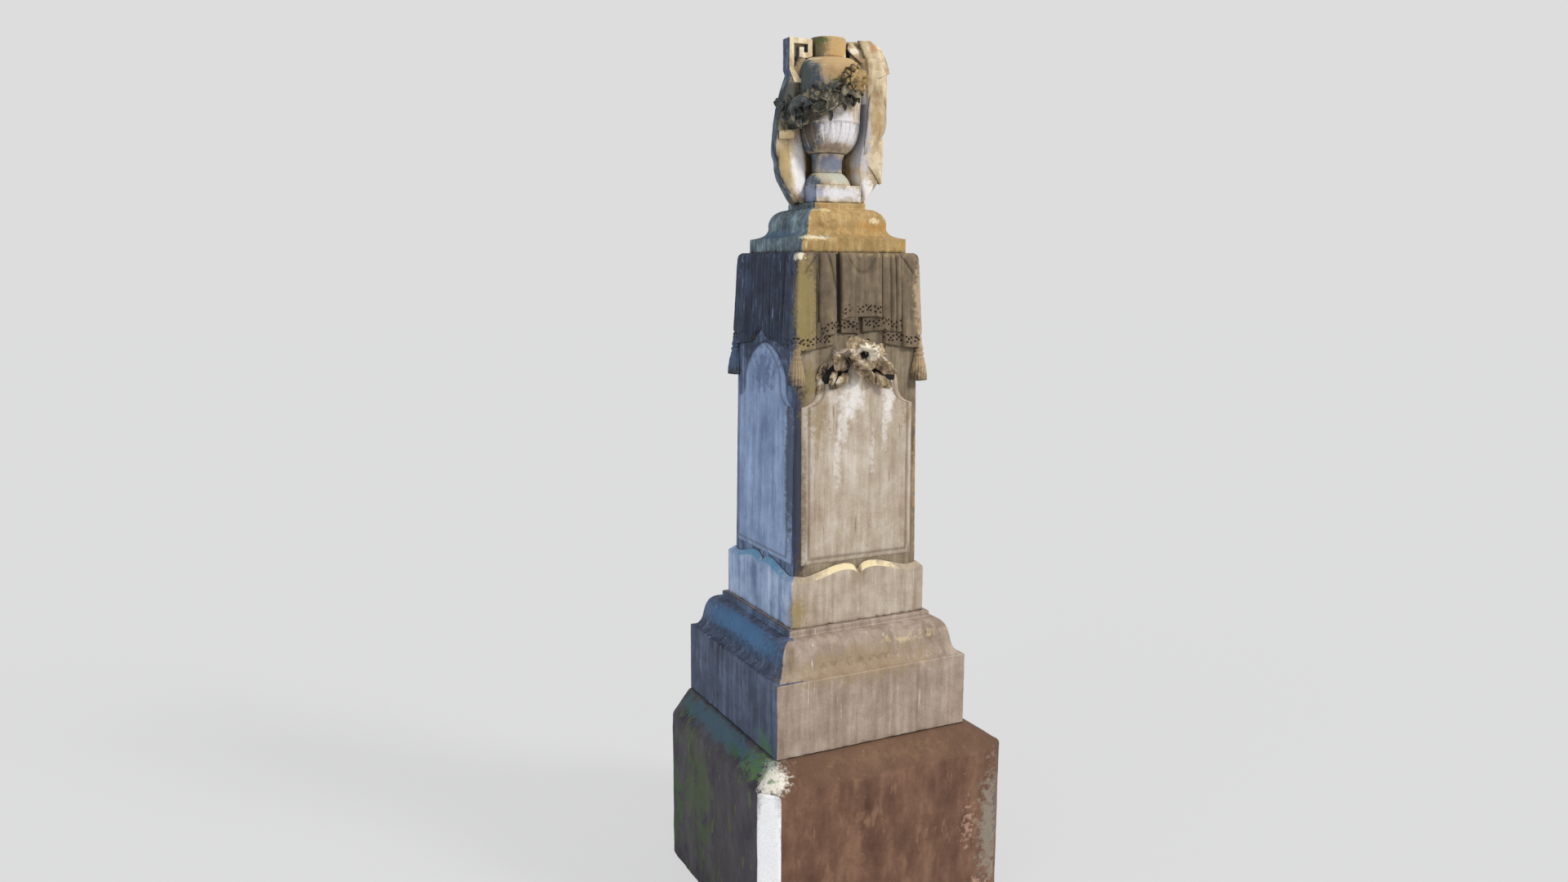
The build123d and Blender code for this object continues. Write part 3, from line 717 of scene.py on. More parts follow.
@dataclass
class Drapery:
    """Carved cloth that hangs over the die: folds, centre panels, corner falls and tassels."""

    finish: bpy.types.Material
    slot: str = "carved_marble"
    # outer face from the axis at the hem's level, how far it leans in over its rise, and the rounding under the cap
    hem_half: float = 240.2
    hem_level: float = 1890.0
    top: float = 2208.0
    lean: float = 14.0
    rise: float = 318.0
    shoulder_rise: float = 24.0
    shoulder_step: float = 12.0
    # where the sides' folds end and the corner falls begin, and the ends of the falls' broad part
    corner_edge: float = 157.7
    corner_round: float = 15.0
    tongue_end: float = 95.0
    fall_step: float = 1990.0
    panel_left: float = -67.0
    panel_right: float = 83.0
    # drilled florets: radius and depth of a hole, distance from one floret to the next and height over the hem
    pit_radius: float = 4.3
    pit_depth: float = 5.0
    pit_spacing: float = 32.0
    pit_rise: float = 25.0
    holes: Table = ((0, 0), (-9, 8), (9, 6), (-7, -9), (8, -9))
    # width of a column of the carving, and thickness behind the face of a side and of a corner fall
    pitch: float = 1.6
    side_depth: float = 34.0
    fall_depth: float = 30.0
    # hems as pairs of the place along the face and the height; the panels' run from panel_left to panel_right, and
    # a fall's place is its distance from the corner
    layer_hem: Table = (
        (-158, 1939), (-150, 1936), (-137, 1936), (-127, 1949), (-60, 1954), (-8, 1951), (-2, 1945), (3, 1943),
        (14, 1956), (60, 1957), (84, 1960), (92, 1966), (100, 1958), (130, 1956), (158, 1953),
    )
    pleat_hem: Table = (
        (-158, 1909), (-123, 1910), (-92, 1921), (-70, 1942), (-44, 1957), (-20, 1955), (10, 1936), (60, 1925),
        (158, 1917),
    )
    layer_panel_hem: Table = ((-67, 1996), (-40, 2004), (60, 2005), (83, 2001))
    pleat_panel_hem: Table = ((-67, 1952), (-44, 1968), (-10, 1965), (20, 1948), (83, 1936))
    fall_hem: Table = ((0, 1905), (35, 1902), (77, 1906), (115, 1911), (142, 1917))
    # hollows between the upright pleats, along the face
    pleats: tuple[float, ...] = (-160, -134, -116, -92, -70, -44, -24, 2, 24, 50, 68, 96, 118, 138, 160)
    # height and radius of the tassels, which hang on the diagonal at this distance from both axes
    tassel_sizes: Table = (
        (1794, 2), (1794.5, 24), (1797, 28.5), (1812, 28), (1840, 24), (1866, 18), (1876, 14), (1878, 17),
        (1886, 17), (1888, 12.5), (1896, 14.5), (1903, 14.5), (1910, 10), (1916, 2),
    )
    tassel_middle: float = 227.0
    tassel_collar: float = 1876.0
    tassel_cords: int = 16

    def half(self, z: float) -> float:
        """Distance from the axis to the outer face of the cloth at a height."""
        over = max(0.0, z - (self.top - self.shoulder_rise)) / self.shoulder_rise
        bow = 1 - math.sqrt(max(0.0, 1 - over * over))
        return self.hem_half - self.lean * (z - self.hem_level) / self.rise - self.shoulder_step * bow

    def edge_drop(self, away: float, radius: float = 5.0) -> float:
        """How far the cloth rounds back at a distance from its own edge."""
        if away >= radius:
            return 0.0
        share = 1 - max(0.0, away) / radius
        return radius * (1 - math.sqrt(max(0.0, 1 - share * share)))

    def pits(self, run: float, rise: float) -> float:
        """Depth of the drilled florets of the border: five holes every so often.

        Args:
            run: distance along the hem.
            rise: height over the hem.

        Returns:
            Depth at that point.
        """
        across = (run + self.pit_spacing / 2) % self.pit_spacing - self.pit_spacing / 2
        index = round((run - across) / self.pit_spacing)
        above = rise - self.pit_rise - (5 if index % 2 else 0)
        deepest = 0.0
        for hole, (hole_x, hole_z) in enumerate(self.holes):
            drift = 3.4 * noise.noise(Vector((index * 3.7, hole * 5.3, 1.0)))
            away = math.hypot(across - hole_x - drift, above - hole_z - 1.3 * drift)
            deepest = max(deepest, ramp(self.pit_radius, self.pit_radius * 0.5, away))
        return deepest * self.pit_depth

    def layer_relief(self, x: float, z: float) -> float:
        """Height of the middle layer on the front and back, 0 at its crowns.

        Args:
            x: place across the face.
            z: height.

        Returns:
            Height over the cloth's outer face, which is 0 or less.
        """
        sway = 2.5 * math.sin((z - 1900) / 95)
        if x < self.panel_left:
            # one broad roll with a crease slanting down from the cap and a ridge below it
            drop = -19 + 18 * crown(-146, -80 + sway * 0.5, x, 0.46)
            crease = abs(x - (-112 + (2190 - z) * 0.31))
            drop -= 6.0 * ramp(8, 0, crease) * ramp(2085, 2115, z)
            drop += 2.0 * crown(-118 + sway, -90 + sway, x) * ramp(2120, 2060, z)
            return drop
        if x > self.panel_right:
            # three rolls side by side
            first = crown(82, 116 + sway, x, 0.5)
            second = crown(112 + sway, 138 + sway, x, 0.6)
            third = crown(134 + sway, 160, x, 0.5)
            return -14 + max(13 * first, 11 * second, 13.5 * third)
        # the layer under the panel: a lobe that curls out, a slot beside it and a wavy hem
        lobe = 1972 + 22 * ramp(-5, -62, x)
        curl = 4.8 * ramp(0, 6, z - lobe) * ramp(-3, -9, x)
        slot = 24 * ramp(9, 5, abs(x - 4.5)) * ramp(2012, 2004, z)
        wave = 2.2 * math.sin((x + sway * 4) / 13) * ramp(2010, 1990, z)
        return -11 + curl - slot + wave

    def pleat_relief(self, x: float, z: float) -> float:
        """Height of the deep upright pleats of the left and right sides, 0 at their crowns."""
        share = ramp(self.top - 10, self.hem_level, z)
        shift = 3.5 * math.sin(z / 60 + x / 40)
        best = 0.0
        for index, (start, end) in enumerate(zip(self.pleats, self.pleats[1:])):
            tall = 0.55 + 0.45 * math.sin(index * 2.4 + 1.0) ** 2
            best = max(best, tall * crown(start + shift, end + shift, x, 0.6))
        return (-9 - 5 * share) * (1 - best)

    def panel_relief(self, x: float, z: float) -> float:
        """Height of the centre panel with its hanging creases, 0 at its crown."""
        middle = (self.panel_left + self.panel_right) / 2
        sag = self.top - z + 0.020 * (x - middle) ** 2
        swag = 5.0 * max(0.0, math.sin((sag + 8) / 9.5)) ** 3 * ramp(135, 60, sag) * ramp(2, 18, sag)
        side = 2.5 * (crown(58, 84, x) + crown(-68, -50, x)) + 1.6 * crown(20, 48, x) * ramp(2130, 2060, z)
        fall = 2.2 * math.sin((x + (z - 2000) * 0.12) / 9) * ramp(2150, 2020, z)
        return -4.0 + side - swag + fall

    def sheet(self, left: float, right: float, hem: Table, relief: Amount, pitted: bool) -> Shape:
        """Carve one upright sheet of cloth on the front face.

        Args:
            left: lowest x.
            right: highest x.
            hem: height of its lower edge at each x.
            relief: height over the cloth's outer face at x and z.
            pitted: whether the border is drilled.

        Returns:
            The sheet with its thickness.
        """
        wide = right - left
        border = 56.0

        def place(across: float, up: float) -> Vector:
            """Point of the sheet, on a grid that is finer near the edges and the hem."""
            x = left + wide * (across - 0.8 * math.sin(math.tau * across) / math.tau / (wide / 60))
            low = read_off(hem, x)
            z = split_rise(up, 0.42, low, low + border, self.top)
            depth = self.edge_drop(min(x - left, right - x)) + self.edge_drop(z - low, 4.0)
            if pitted:
                depth += self.pits(x, z - low)
            out = self.half(z) + relief(x, z) - depth + 0.7 * rough(Vector((x, 0, z)), 22.0)
            return Vector((x, -out, z))

        bm = mapped_grid(round(wide / self.pitch), 80, place)
        layer = bm.verts.layers.float[CARVE]
        # the carve attribute paints shade into the drilled pits and deep folds and a highlight on the crowns
        for vert in bm.verts:
            low = read_off(hem, vert.co.x)
            sunk = self.pits(vert.co.x, vert.co.z - low) / self.pit_depth if pitted else 0.0
            depth = self.half(vert.co.z) + vert.co.y
            sunk = max(sunk, ramp(11.5, 16.5, depth))
            vert[layer] = -0.9 * sunk if sunk > 0.05 else 0.6 * ramp(5, 0, depth)
        back_up(bm, self.side_depth)
        return bm

    def build_side(self, side: Side) -> None:
        """Carve the folds and the centre panel of one side: layers on the front and back, pleats on the others."""
        layered = side in (Side.FRONT, Side.BACK)
        edge = self.corner_edge + 1
        if layered:
            folds = self.sheet(-edge, edge, self.layer_hem, self.layer_relief, True)
            panel = self.sheet(self.panel_left, self.panel_right, self.layer_panel_hem, self.panel_relief, True)
        else:
            folds = self.sheet(-edge, edge, self.pleat_hem, self.pleat_relief, False)
            panel = self.sheet(self.panel_left, self.panel_right, self.pleat_panel_hem, self.pleat_crest, False)
        folds.transform(side.turn)
        finish_piece(folds, f"side_folds_{side.label}", self.finish, [f"cloth_folds_{side.label}"], self.slot)
        panel.transform(side.turn)
        finish_piece(panel, f"centre_panel_{side.label}", self.finish, [f"cloth_panel_{side.label}"], self.slot)

    def pleat_crest(self, x: float, z: float) -> float:
        """Height of the pleats in a side's centre panel, which stand a little proud of the rest."""
        return 0.7 * self.pleat_relief(x * 0.93 + 6, z) + 1.0

    def fall_relief(self, away: float, z: float) -> float:
        """Height of a corner fall at a distance along the face from the corner, 0 at its crown."""
        if away > self.hem_half - self.corner_edge:
            return -11.0
        crease = abs(away - (70 - (2195 - z) * 0.75))
        drop = -5.5 * ramp(7, 0, crease) * ramp(2128, 2146, z)
        return drop - 2.6 * crown(26, 56, away, 1.0) * ramp(2150, 2000, z) - self.edge_drop(80 - away, 12.0)

    def corner_fall(self) -> Shape:
        """Carve the cloth round the front left corner.

        Returns:
            The fall with its thickness.
        """
        straight = self.hem_half - self.tongue_end - self.corner_round
        bend = math.pi / 2 * self.corner_round
        total = 2 * straight + bend
        inside = self.hem_half - self.corner_edge
        border = 50.0

        def place(across: float, up: float) -> Vector:
            """Point of the fall, along one face, round the corner and along the other."""
            run = total * across - total / 2
            away = max(0.0, abs(run) - bend / 2) + self.corner_round
            low = read_off(self.fall_hem, away if abs(run) > bend / 2 else 10)
            high = self.top - (self.top - self.fall_step) * ramp(inside, inside + 3, away)
            z = split_rise(up, 0.4, low, low + border, high)
            depth = -self.fall_relief(away, z) + self.edge_drop(z - low, 4.0) + self.pits(away + 8, z - low)
            depth += self.edge_drop(self.hem_half - self.tongue_end - away, 5.0)
            depth -= 0.7 * rough(Vector((run, 9, z)), 20.0)
            half = self.half(z)
            if abs(run) <= bend / 2:
                turn = math.pi / 4 + run / self.corner_round
                reach = self.corner_round - depth
                middle = half - self.corner_round
                return Vector((-middle - reach * math.sin(turn), -middle - reach * math.cos(turn), z))
            if run < 0:
                return Vector((away - half, depth - half, z))
            return Vector((depth - half, away - half, z))

        bm = mapped_grid(round(total / self.pitch), 78, place)
        layer = bm.verts.layers.float[CARVE]
        # the carve attribute paints shade into the drilled pits and a highlight near the outer face
        for vert in bm.verts:
            reach = max(abs(vert.co.x), abs(vert.co.y))
            away = self.half(vert.co.z) - min(abs(vert.co.x), abs(vert.co.y))
            low = read_off(self.fall_hem, away)
            sunk = self.pits(away + 8, vert.co.z - low) / self.pit_depth
            crown_highlight = ramp(7, 0, self.half(vert.co.z) - reach)
            vert[layer] = -0.9 * sunk if sunk > 0.05 else 0.6 * crown_highlight
        back_up(bm, self.fall_depth)
        return bm

    def tassel(self) -> Shape:
        """Carve the tassel of the front left corner: knot, collar and a skirt of cords.

        Returns:
            The closed tassel.
        """
        foot, knot = self.tassel_sizes[0][0], self.tassel_sizes[-1][0]

        def place(across: float, up: float) -> Vector:
            """Point of the tassel."""
            z = foot + (knot - foot) * up
            turn = math.tau * across
            radius = read_off(self.tassel_sizes, z)
            if z < self.tassel_collar:
                cords = abs(math.sin(self.tassel_cords / 2 * turn + 0.8 * math.sin(z / 30)))
                radius *= 0.88 + 0.15 * cords**0.6
                z -= 2.5 * cords * ramp(foot + 6, foot, z)
            middle = self.tassel_middle
            return Vector((-middle - radius * math.cos(turn), -middle - radius * math.sin(turn), z))

        bm = mapped_grid(96, 44, place)
        weld(bm)
        return bm

    def build(self) -> None:
        """Build the whole drapery."""
        for side in Side:
            self.build_side(side)
        for corner in Corner:
            bm = self.corner_fall()
            bm.transform(corner.turn)
            finish_piece(bm, f"corner_fall_{corner.label}", self.finish, [f"cloth_corner_{corner.label}"], self.slot)
            bm = self.tassel()
            bm.transform(corner.turn)
            finish_piece(bm, f"corner_tassel_{corner.label}", self.finish, [f"tassel_{corner.label}"], self.slot)


@dataclass(frozen=True)
class Leaf:
    """Carved leaf: where its stalk sits, where it points and how far its tip lifts off the stone, in degrees."""

    spot: Point
    heading: float
    length: float
    width: float
    lift: float = 18.0
    # share of the width that the sides stand up by, number of lobes along each side, and thickness
    cup: float = 0.2
    lobes: int = 0
    thick: float = 5.0

    def breadth(self, share: float) -> float:
        """Width of the plain blade at a share of its length, where 1 is its widest."""
        return math.sin(math.pi * min(1.0, 0.05 + share * 0.95) ** 0.8) ** 0.7

    def carve(self, columns: int = 20, rows: int = 12) -> Shape:
        """Carve the leaf on the front, stalk at the stack's axis plus its spot.

        Args:
            columns: faces round the blade.
            rows: faces along it.

        Returns:
            The closed leaf.
        """

        def place(across: float, up: float) -> Vector:
            """Point of the blade, round its face and its back."""
            swing = math.tau * across
            side, face = math.cos(swing), math.sin(swing)
            spread = self.breadth(up)
            if self.lobes:
                spread *= 1 + 0.13 * math.sin(math.tau * self.lobes * up + 1.2)
            high = self.cup * self.width * (side * side - 0.3) - 0.16 * self.length * up * up
            high -= 0.05 * self.width * ramp(0.22, 0.0, abs(side)) * max(0.0, face)
            high += self.thick / 2 * face * (1 - up**6)
            return Vector((self.length * up, self.width / 2 * spread * side, high))

        bm = mapped_grid(columns, rows, place)
        layer = bm.verts.layers.float[CARVE]
        # painted highlight on the rims of the larger leaves, painted shade at the stalk
        for vert in bm.verts:
            share = vert.co.x / self.length
            rim = abs(vert.co.y) / (self.width / 2 * max(0.15, self.breadth(share)))
            vert[layer] = ramp(0.55, 0.95, rim) * ramp(26, 60, self.length) if share > 0.12 else -0.25
        weld(bm, 0.05)
        lift = Matrix.Rotation(math.radians(-self.lift), 4, "Y")
        heading = Matrix.Rotation(math.radians(self.heading), 4, "Z")
        upright = Matrix.Rotation(math.radians(90), 4, "X")
        bm.transform(Matrix.Translation(Vector(self.spot)) @ upright @ heading @ lift)
        return bm


@dataclass
class FlowerSpray:
    """Lily and leaves laid over the head of the front tablet."""

    finish: bpy.types.Material
    face: float = -221.7
    # spot, heading, length, width, lift, cup, lobes and thickness
    leaves_left: tuple[Leaf, ...] = (
        Leaf((-50, -242, 1850), 158, 80, 56, 30, -0.20, 2, 10),
        Leaf((-44, -240, 1822), 202, 66, 36, 30, -0.18, 3, 9),
        Leaf((-90, -240, 1836), 234, 60, 28, 26, -0.2, 0, 8),
        Leaf((-118, -230, 1860), 236, 62, 28, 6, -0.2, 0, 8),
        Leaf((-74, -232, 1804), 214, 46, 32, 14, -0.2, 2, 8),
        Leaf((-132, -228, 1796), 236, 40, 20, 4, -0.2, 0, 7),
    )
    leaves_right: tuple[Leaf, ...] = (
        Leaf((52, -244, 1860), -28, 78, 44, 30, -0.18, 2, 10),
        Leaf((50, -240, 1824), -46, 72, 40, 28, -0.18, 3, 9),
        Leaf((26, -240, 1834), -70, 50, 36, 22, -0.2, 0, 9),
        Leaf((98, -230, 1808), -54, 46, 30, 10, -0.2, 2, 8),
        Leaf((118, -228, 1788), -48, 38, 20, 4, -0.2, 0, 7),
        Leaf((20, -268, 1894), -10, 58, 19, 16, -0.4, 0, 13),
    )
    bloom: Point = (-14.0, -280.0, 1890.0)
    throat: float = 8.0
    # turn round the throat, length and width of each petal
    petals: tuple[Point, ...] = (
        (20, 66, 44), (75, 42, 60), (132, 66, 54), (198, 44, 38), (262, 50, 68), (322, 54, 44),
    )

    def petal(self, turn: float, length: float, width: float) -> Shape:
        """Carve one petal of the lily about its throat, which looks up Z.

        Args:
            turn: where it points round the throat, in degrees.
            length: how long it is.
            width: how wide it is.

        Returns:
            The closed petal.
        """

        def place(across: float, up: float) -> Vector:
            """Point of the petal, round its face and its back."""
            swing = math.tau * across
            side, face = math.cos(swing), math.sin(swing)
            swell = math.sin(math.pi * min(1.0, up * 0.97) ** 0.85) ** 0.7
            half = width / 2 * (0.34 + 0.66 * swell) * ramp(1.0, 0.86, up)
            high = 19 * math.sin(math.pi * min(1.0, up * 1.05)) ** 0.8 - 20 * up**3
            high += 9 * side * side * ramp(0.1, 0.5, up)
            high += 3.6 * face * (1 - up**8) + 1.6 * math.sin(turn + 6 * up)
            return Vector((self.throat + length * up, half * side, high))

        bm = mapped_grid(20, 16, place)
        layer = bm.verts.layers.float[CARVE]
        # painted shade at the petal's root by the throat, painted highlight towards its tip
        for vert in bm.verts:
            share = (vert.co.x - self.throat) / length
            vert[layer] = -ramp(0.16, 0.03, share) + 0.9 * ramp(0.3, 0.6, share)
        weld(bm, 0.05)
        bm.transform(Matrix.Rotation(math.radians(turn), 4, "Z"))
        return bm

    def lily(self) -> Shape:
        """Carve the open lily, leaning out of the spray.

        Returns:
            The closed bloom.
        """
        bm = bmesh.new()
        layer = bm.verts.layers.float.new(CARVE)
        bmesh.ops.create_icosphere(bm, subdivisions=3, radius=7.0)
        # the throat's core is black with painted shade
        for vert in bm.verts:
            vert[layer] = -1.0
            vert.co.z = vert.co.z * 0.5 - 4
        for petal in self.petals:
            absorb(bm, self.petal(*petal))
        aim = Vector((-0.34, -0.92, -0.16)).to_track_quat("Z", "Y").to_matrix().to_4x4()
        bm.transform(Matrix.Translation(Vector(self.bloom)) @ aim)
        # the body under the petals, and the broad leaf that hangs below them
        body = bmesh.new()
        bmesh.ops.create_icosphere(body, subdivisions=3, radius=1.0)
        body.transform(Matrix.Translation((-8, -250, 1876)) @ Matrix.Diagonal((34, 32, 30, 1)))
        absorb(bm, body)
        absorb(bm, Leaf((-6, -266, 1872), -84, 60, 62, 12, cup=-0.16, thick=12).carve(24, 14))
        return bm

    def side(self, leaves: tuple[Leaf, ...], ends: Table) -> Shape:
        """Carve one side's leaves and the stem under them.

        Args:
            leaves: the leaves.
            ends: x and z of the places that the stem runs through.

        Returns:
            The side's closed shapes.
        """
        bm = bmesh.new()
        layer = bm.verts.layers.float.new(CARVE)
        bmesh.ops.create_icosphere(bm, subdivisions=3, radius=1.0)
        # a body behind the leaves, laid along the stem and made black with painted shade, makes the undercut
        middle = (ends[1][0] + ends[2][0]) / 2
        slope = math.radians(30 if middle > 0 else -30)
        shape = Matrix.Rotation(slope, 4, "Y") @ Matrix.Diagonal((58, 13, 30, 1))
        bm.transform(Matrix.Translation((middle, self.face - 6, 1829)) @ shape)
        for vert in bm.verts:
            vert[layer] = -1.0
        for leaf in leaves:
            absorb(bm, leaf.carve(24, 16))
        line = [Vector((x, self.face - 5, z)) for x, z in ends]

        def place(across: float, up: float) -> Vector:
            """Point of the stem."""
            turn = math.tau * across
            radius = 7.5 - 4 * up
            return along(line, up) + Vector((radius * math.cos(turn), radius * math.sin(turn), 0))

        stem = mapped_grid(12, 30, place)
        weld(stem)
        absorb(bm, stem)
        return bm

    def build(self) -> None:
        """Build the spray."""
        sides = (
            ("left", self.leaves_left, ((-4, 1870), (-60, 1850), (-110, 1810), (-146, 1768))),
            ("right", self.leaves_right, ((12, 1868), (60, 1846), (106, 1806), (140, 1766))),
        )
        for name, leaves, ends in sides:
            bm = self.side(leaves, ends)
            self.settle(bm, 1.6)
            finish_piece(bm, f"leaf_spray_{name}", self.finish, [f"spray_{name}"], "carved_marble")
        bm = self.lily()
        self.settle(bm, 1.2)
        finish_piece(bm, "lily_bloom", self.finish, ["lily"], "carved_marble")

    def settle(self, bm: Shape, wear: float) -> None:
        """Wear the carving and move it to the stack."""
        bm.normal_update()
        moves = [v.co + v.normal * wear * rough(v.co, 14.0) for v in bm.verts]
        for vert, spot in zip(bm.verts, moves):
            vert.co = spot + STACK


@dataclass
class UrnBowl:
    """Bowl of the urn, with flutes hanging under its band."""

    finish: bpy.types.Material
    low: float = 2528.0
    high: float = 2830.0
    flutes: int = 18
    flute_depth: float = 4.0
    # height of the band over the flutes, and of the shoulder from which the table holds
    band: float = 97.0
    shoulder: float = 250.0
    sizes: Table = ((250, 112.8), (256, 113), (264, 112), (274, 108), (284, 101), (294, 89), (302, 70))

    def radius(self, rise: float, turn: float) -> float:
        """Distance of the bowl's face from its axis.

        Args:
            rise: height over the stem.
            turn: angle round the axis.

        Returns:
            The radius, with flutes and the band.
        """
        base = read_off(self.sizes, rise) if rise > self.shoulder else self.belly(rise)
        spacing = math.tau / self.flutes
        across = abs((turn + spacing / 2) % spacing - spacing / 2) / spacing
        wide = 0.16 + 0.28 * ramp(10, 92, rise)
        cut = ramp(wide, wide - 0.07, across) * ramp(8, 22, rise) * ramp(self.band - 1, self.band - 5, rise)
        ridge = 1.2 * crown(0.0, 0.12, across, 1.0) * ramp(8, 30, rise) * ramp(self.band, self.band - 6, rise)
        return base - self.flute_depth * cut + ridge + 2.0 * crown(self.band - 1, self.band + 6, rise)

    def belly(self, rise: float) -> float:
        """Radius of the plain bowl below its shoulder."""
        return 60 + 44 * (1 - math.exp(-rise / 26)) + 9 * (rise / 256) ** 1.25

    def build(self) -> None:
        """Build the bowl."""
        end = 0.02

        def place(across: float, up: float) -> Vector:
            """Point of the bowl, with its two ends drawn in to the axis."""
            turn = math.tau * across
            rise = (self.high - self.low) * min(1.0, max(0.0, (up - end) / (1 - 2 * end)))
            radius = self.radius(rise, turn)
            if not end <= up <= 1 - end:
                radius *= 0.1
            radius += 0.8 * rough(Vector((math.cos(turn) * 100, math.sin(turn) * 100, rise)), 30.0)
            return STACK + Vector((radius * math.cos(turn), radius * math.sin(turn), self.low + rise))

        bm = mapped_grid(240, 110, place)
        weld(bm, 0.05)
        finish_piece(bm, "fluted_bowl", self.finish, ["urn_bowl"], "die_marble")


@dataclass(frozen=True)
class Lap:
    """Fold of cloth laid over the mantle, between two edges given from the top down, around the urn's axis."""

    left: tuple[Point, ...]
    right: tuple[Point, ...]
    bulge: float = 10.0
    thick: float = 12.0
    ripple: float = 2.0
    # how much painted highlight the right edge takes, or painted shade where it is less than 0
    rim: float = 0.5

    def carve(self) -> Shape:
        """Carve the fold.

        Returns:
            The closed fold.
        """
        left = [Vector(p) for p in self.left]
        right = [Vector(p) for p in self.right]

        def place(across: float, up: float) -> Vector:
            """Point of the fold, over its face and back under it."""
            swing = math.tau * across
            share, face = (1 - math.cos(swing)) / 2, math.sin(swing)
            spot = along(left, up).lerp(along(right, up), share)
            rim = ramp(0.0, 0.03, up) * ramp(1.0, 0.97, up)
            arch = math.sin(math.pi * share)
            if face > 0:
                out = self.bulge * arch**0.7 + self.ripple * math.sin(share * 11 + up * 4) * arch
                out += 1.2 * rough(spot, 24.0)
            else:
                out = -self.thick * arch**0.4
            return spot + Vector((0.35, -1.0, 0.0)).normalized() * out * rim

        def shade(across: float, up: float) -> float:
            """Painted shade under the fold's left edge and on its back, and painted highlight or shade along the right
            one as its rim says.
            """
            swing = math.tau * across
            if math.sin(swing) <= 0:
                return -0.8
            share = (1 - math.cos(swing)) / 2
            edge = ramp(0.7, 0.95, share) if self.rim > 0 else ramp(0.93, 1.0, share)
            return self.rim * edge - 0.6 * ramp(0.05, 0.0, share)

        bm = mapped_grid(52, 44, place, shade)
        weld(bm, 0.05)
        return bm


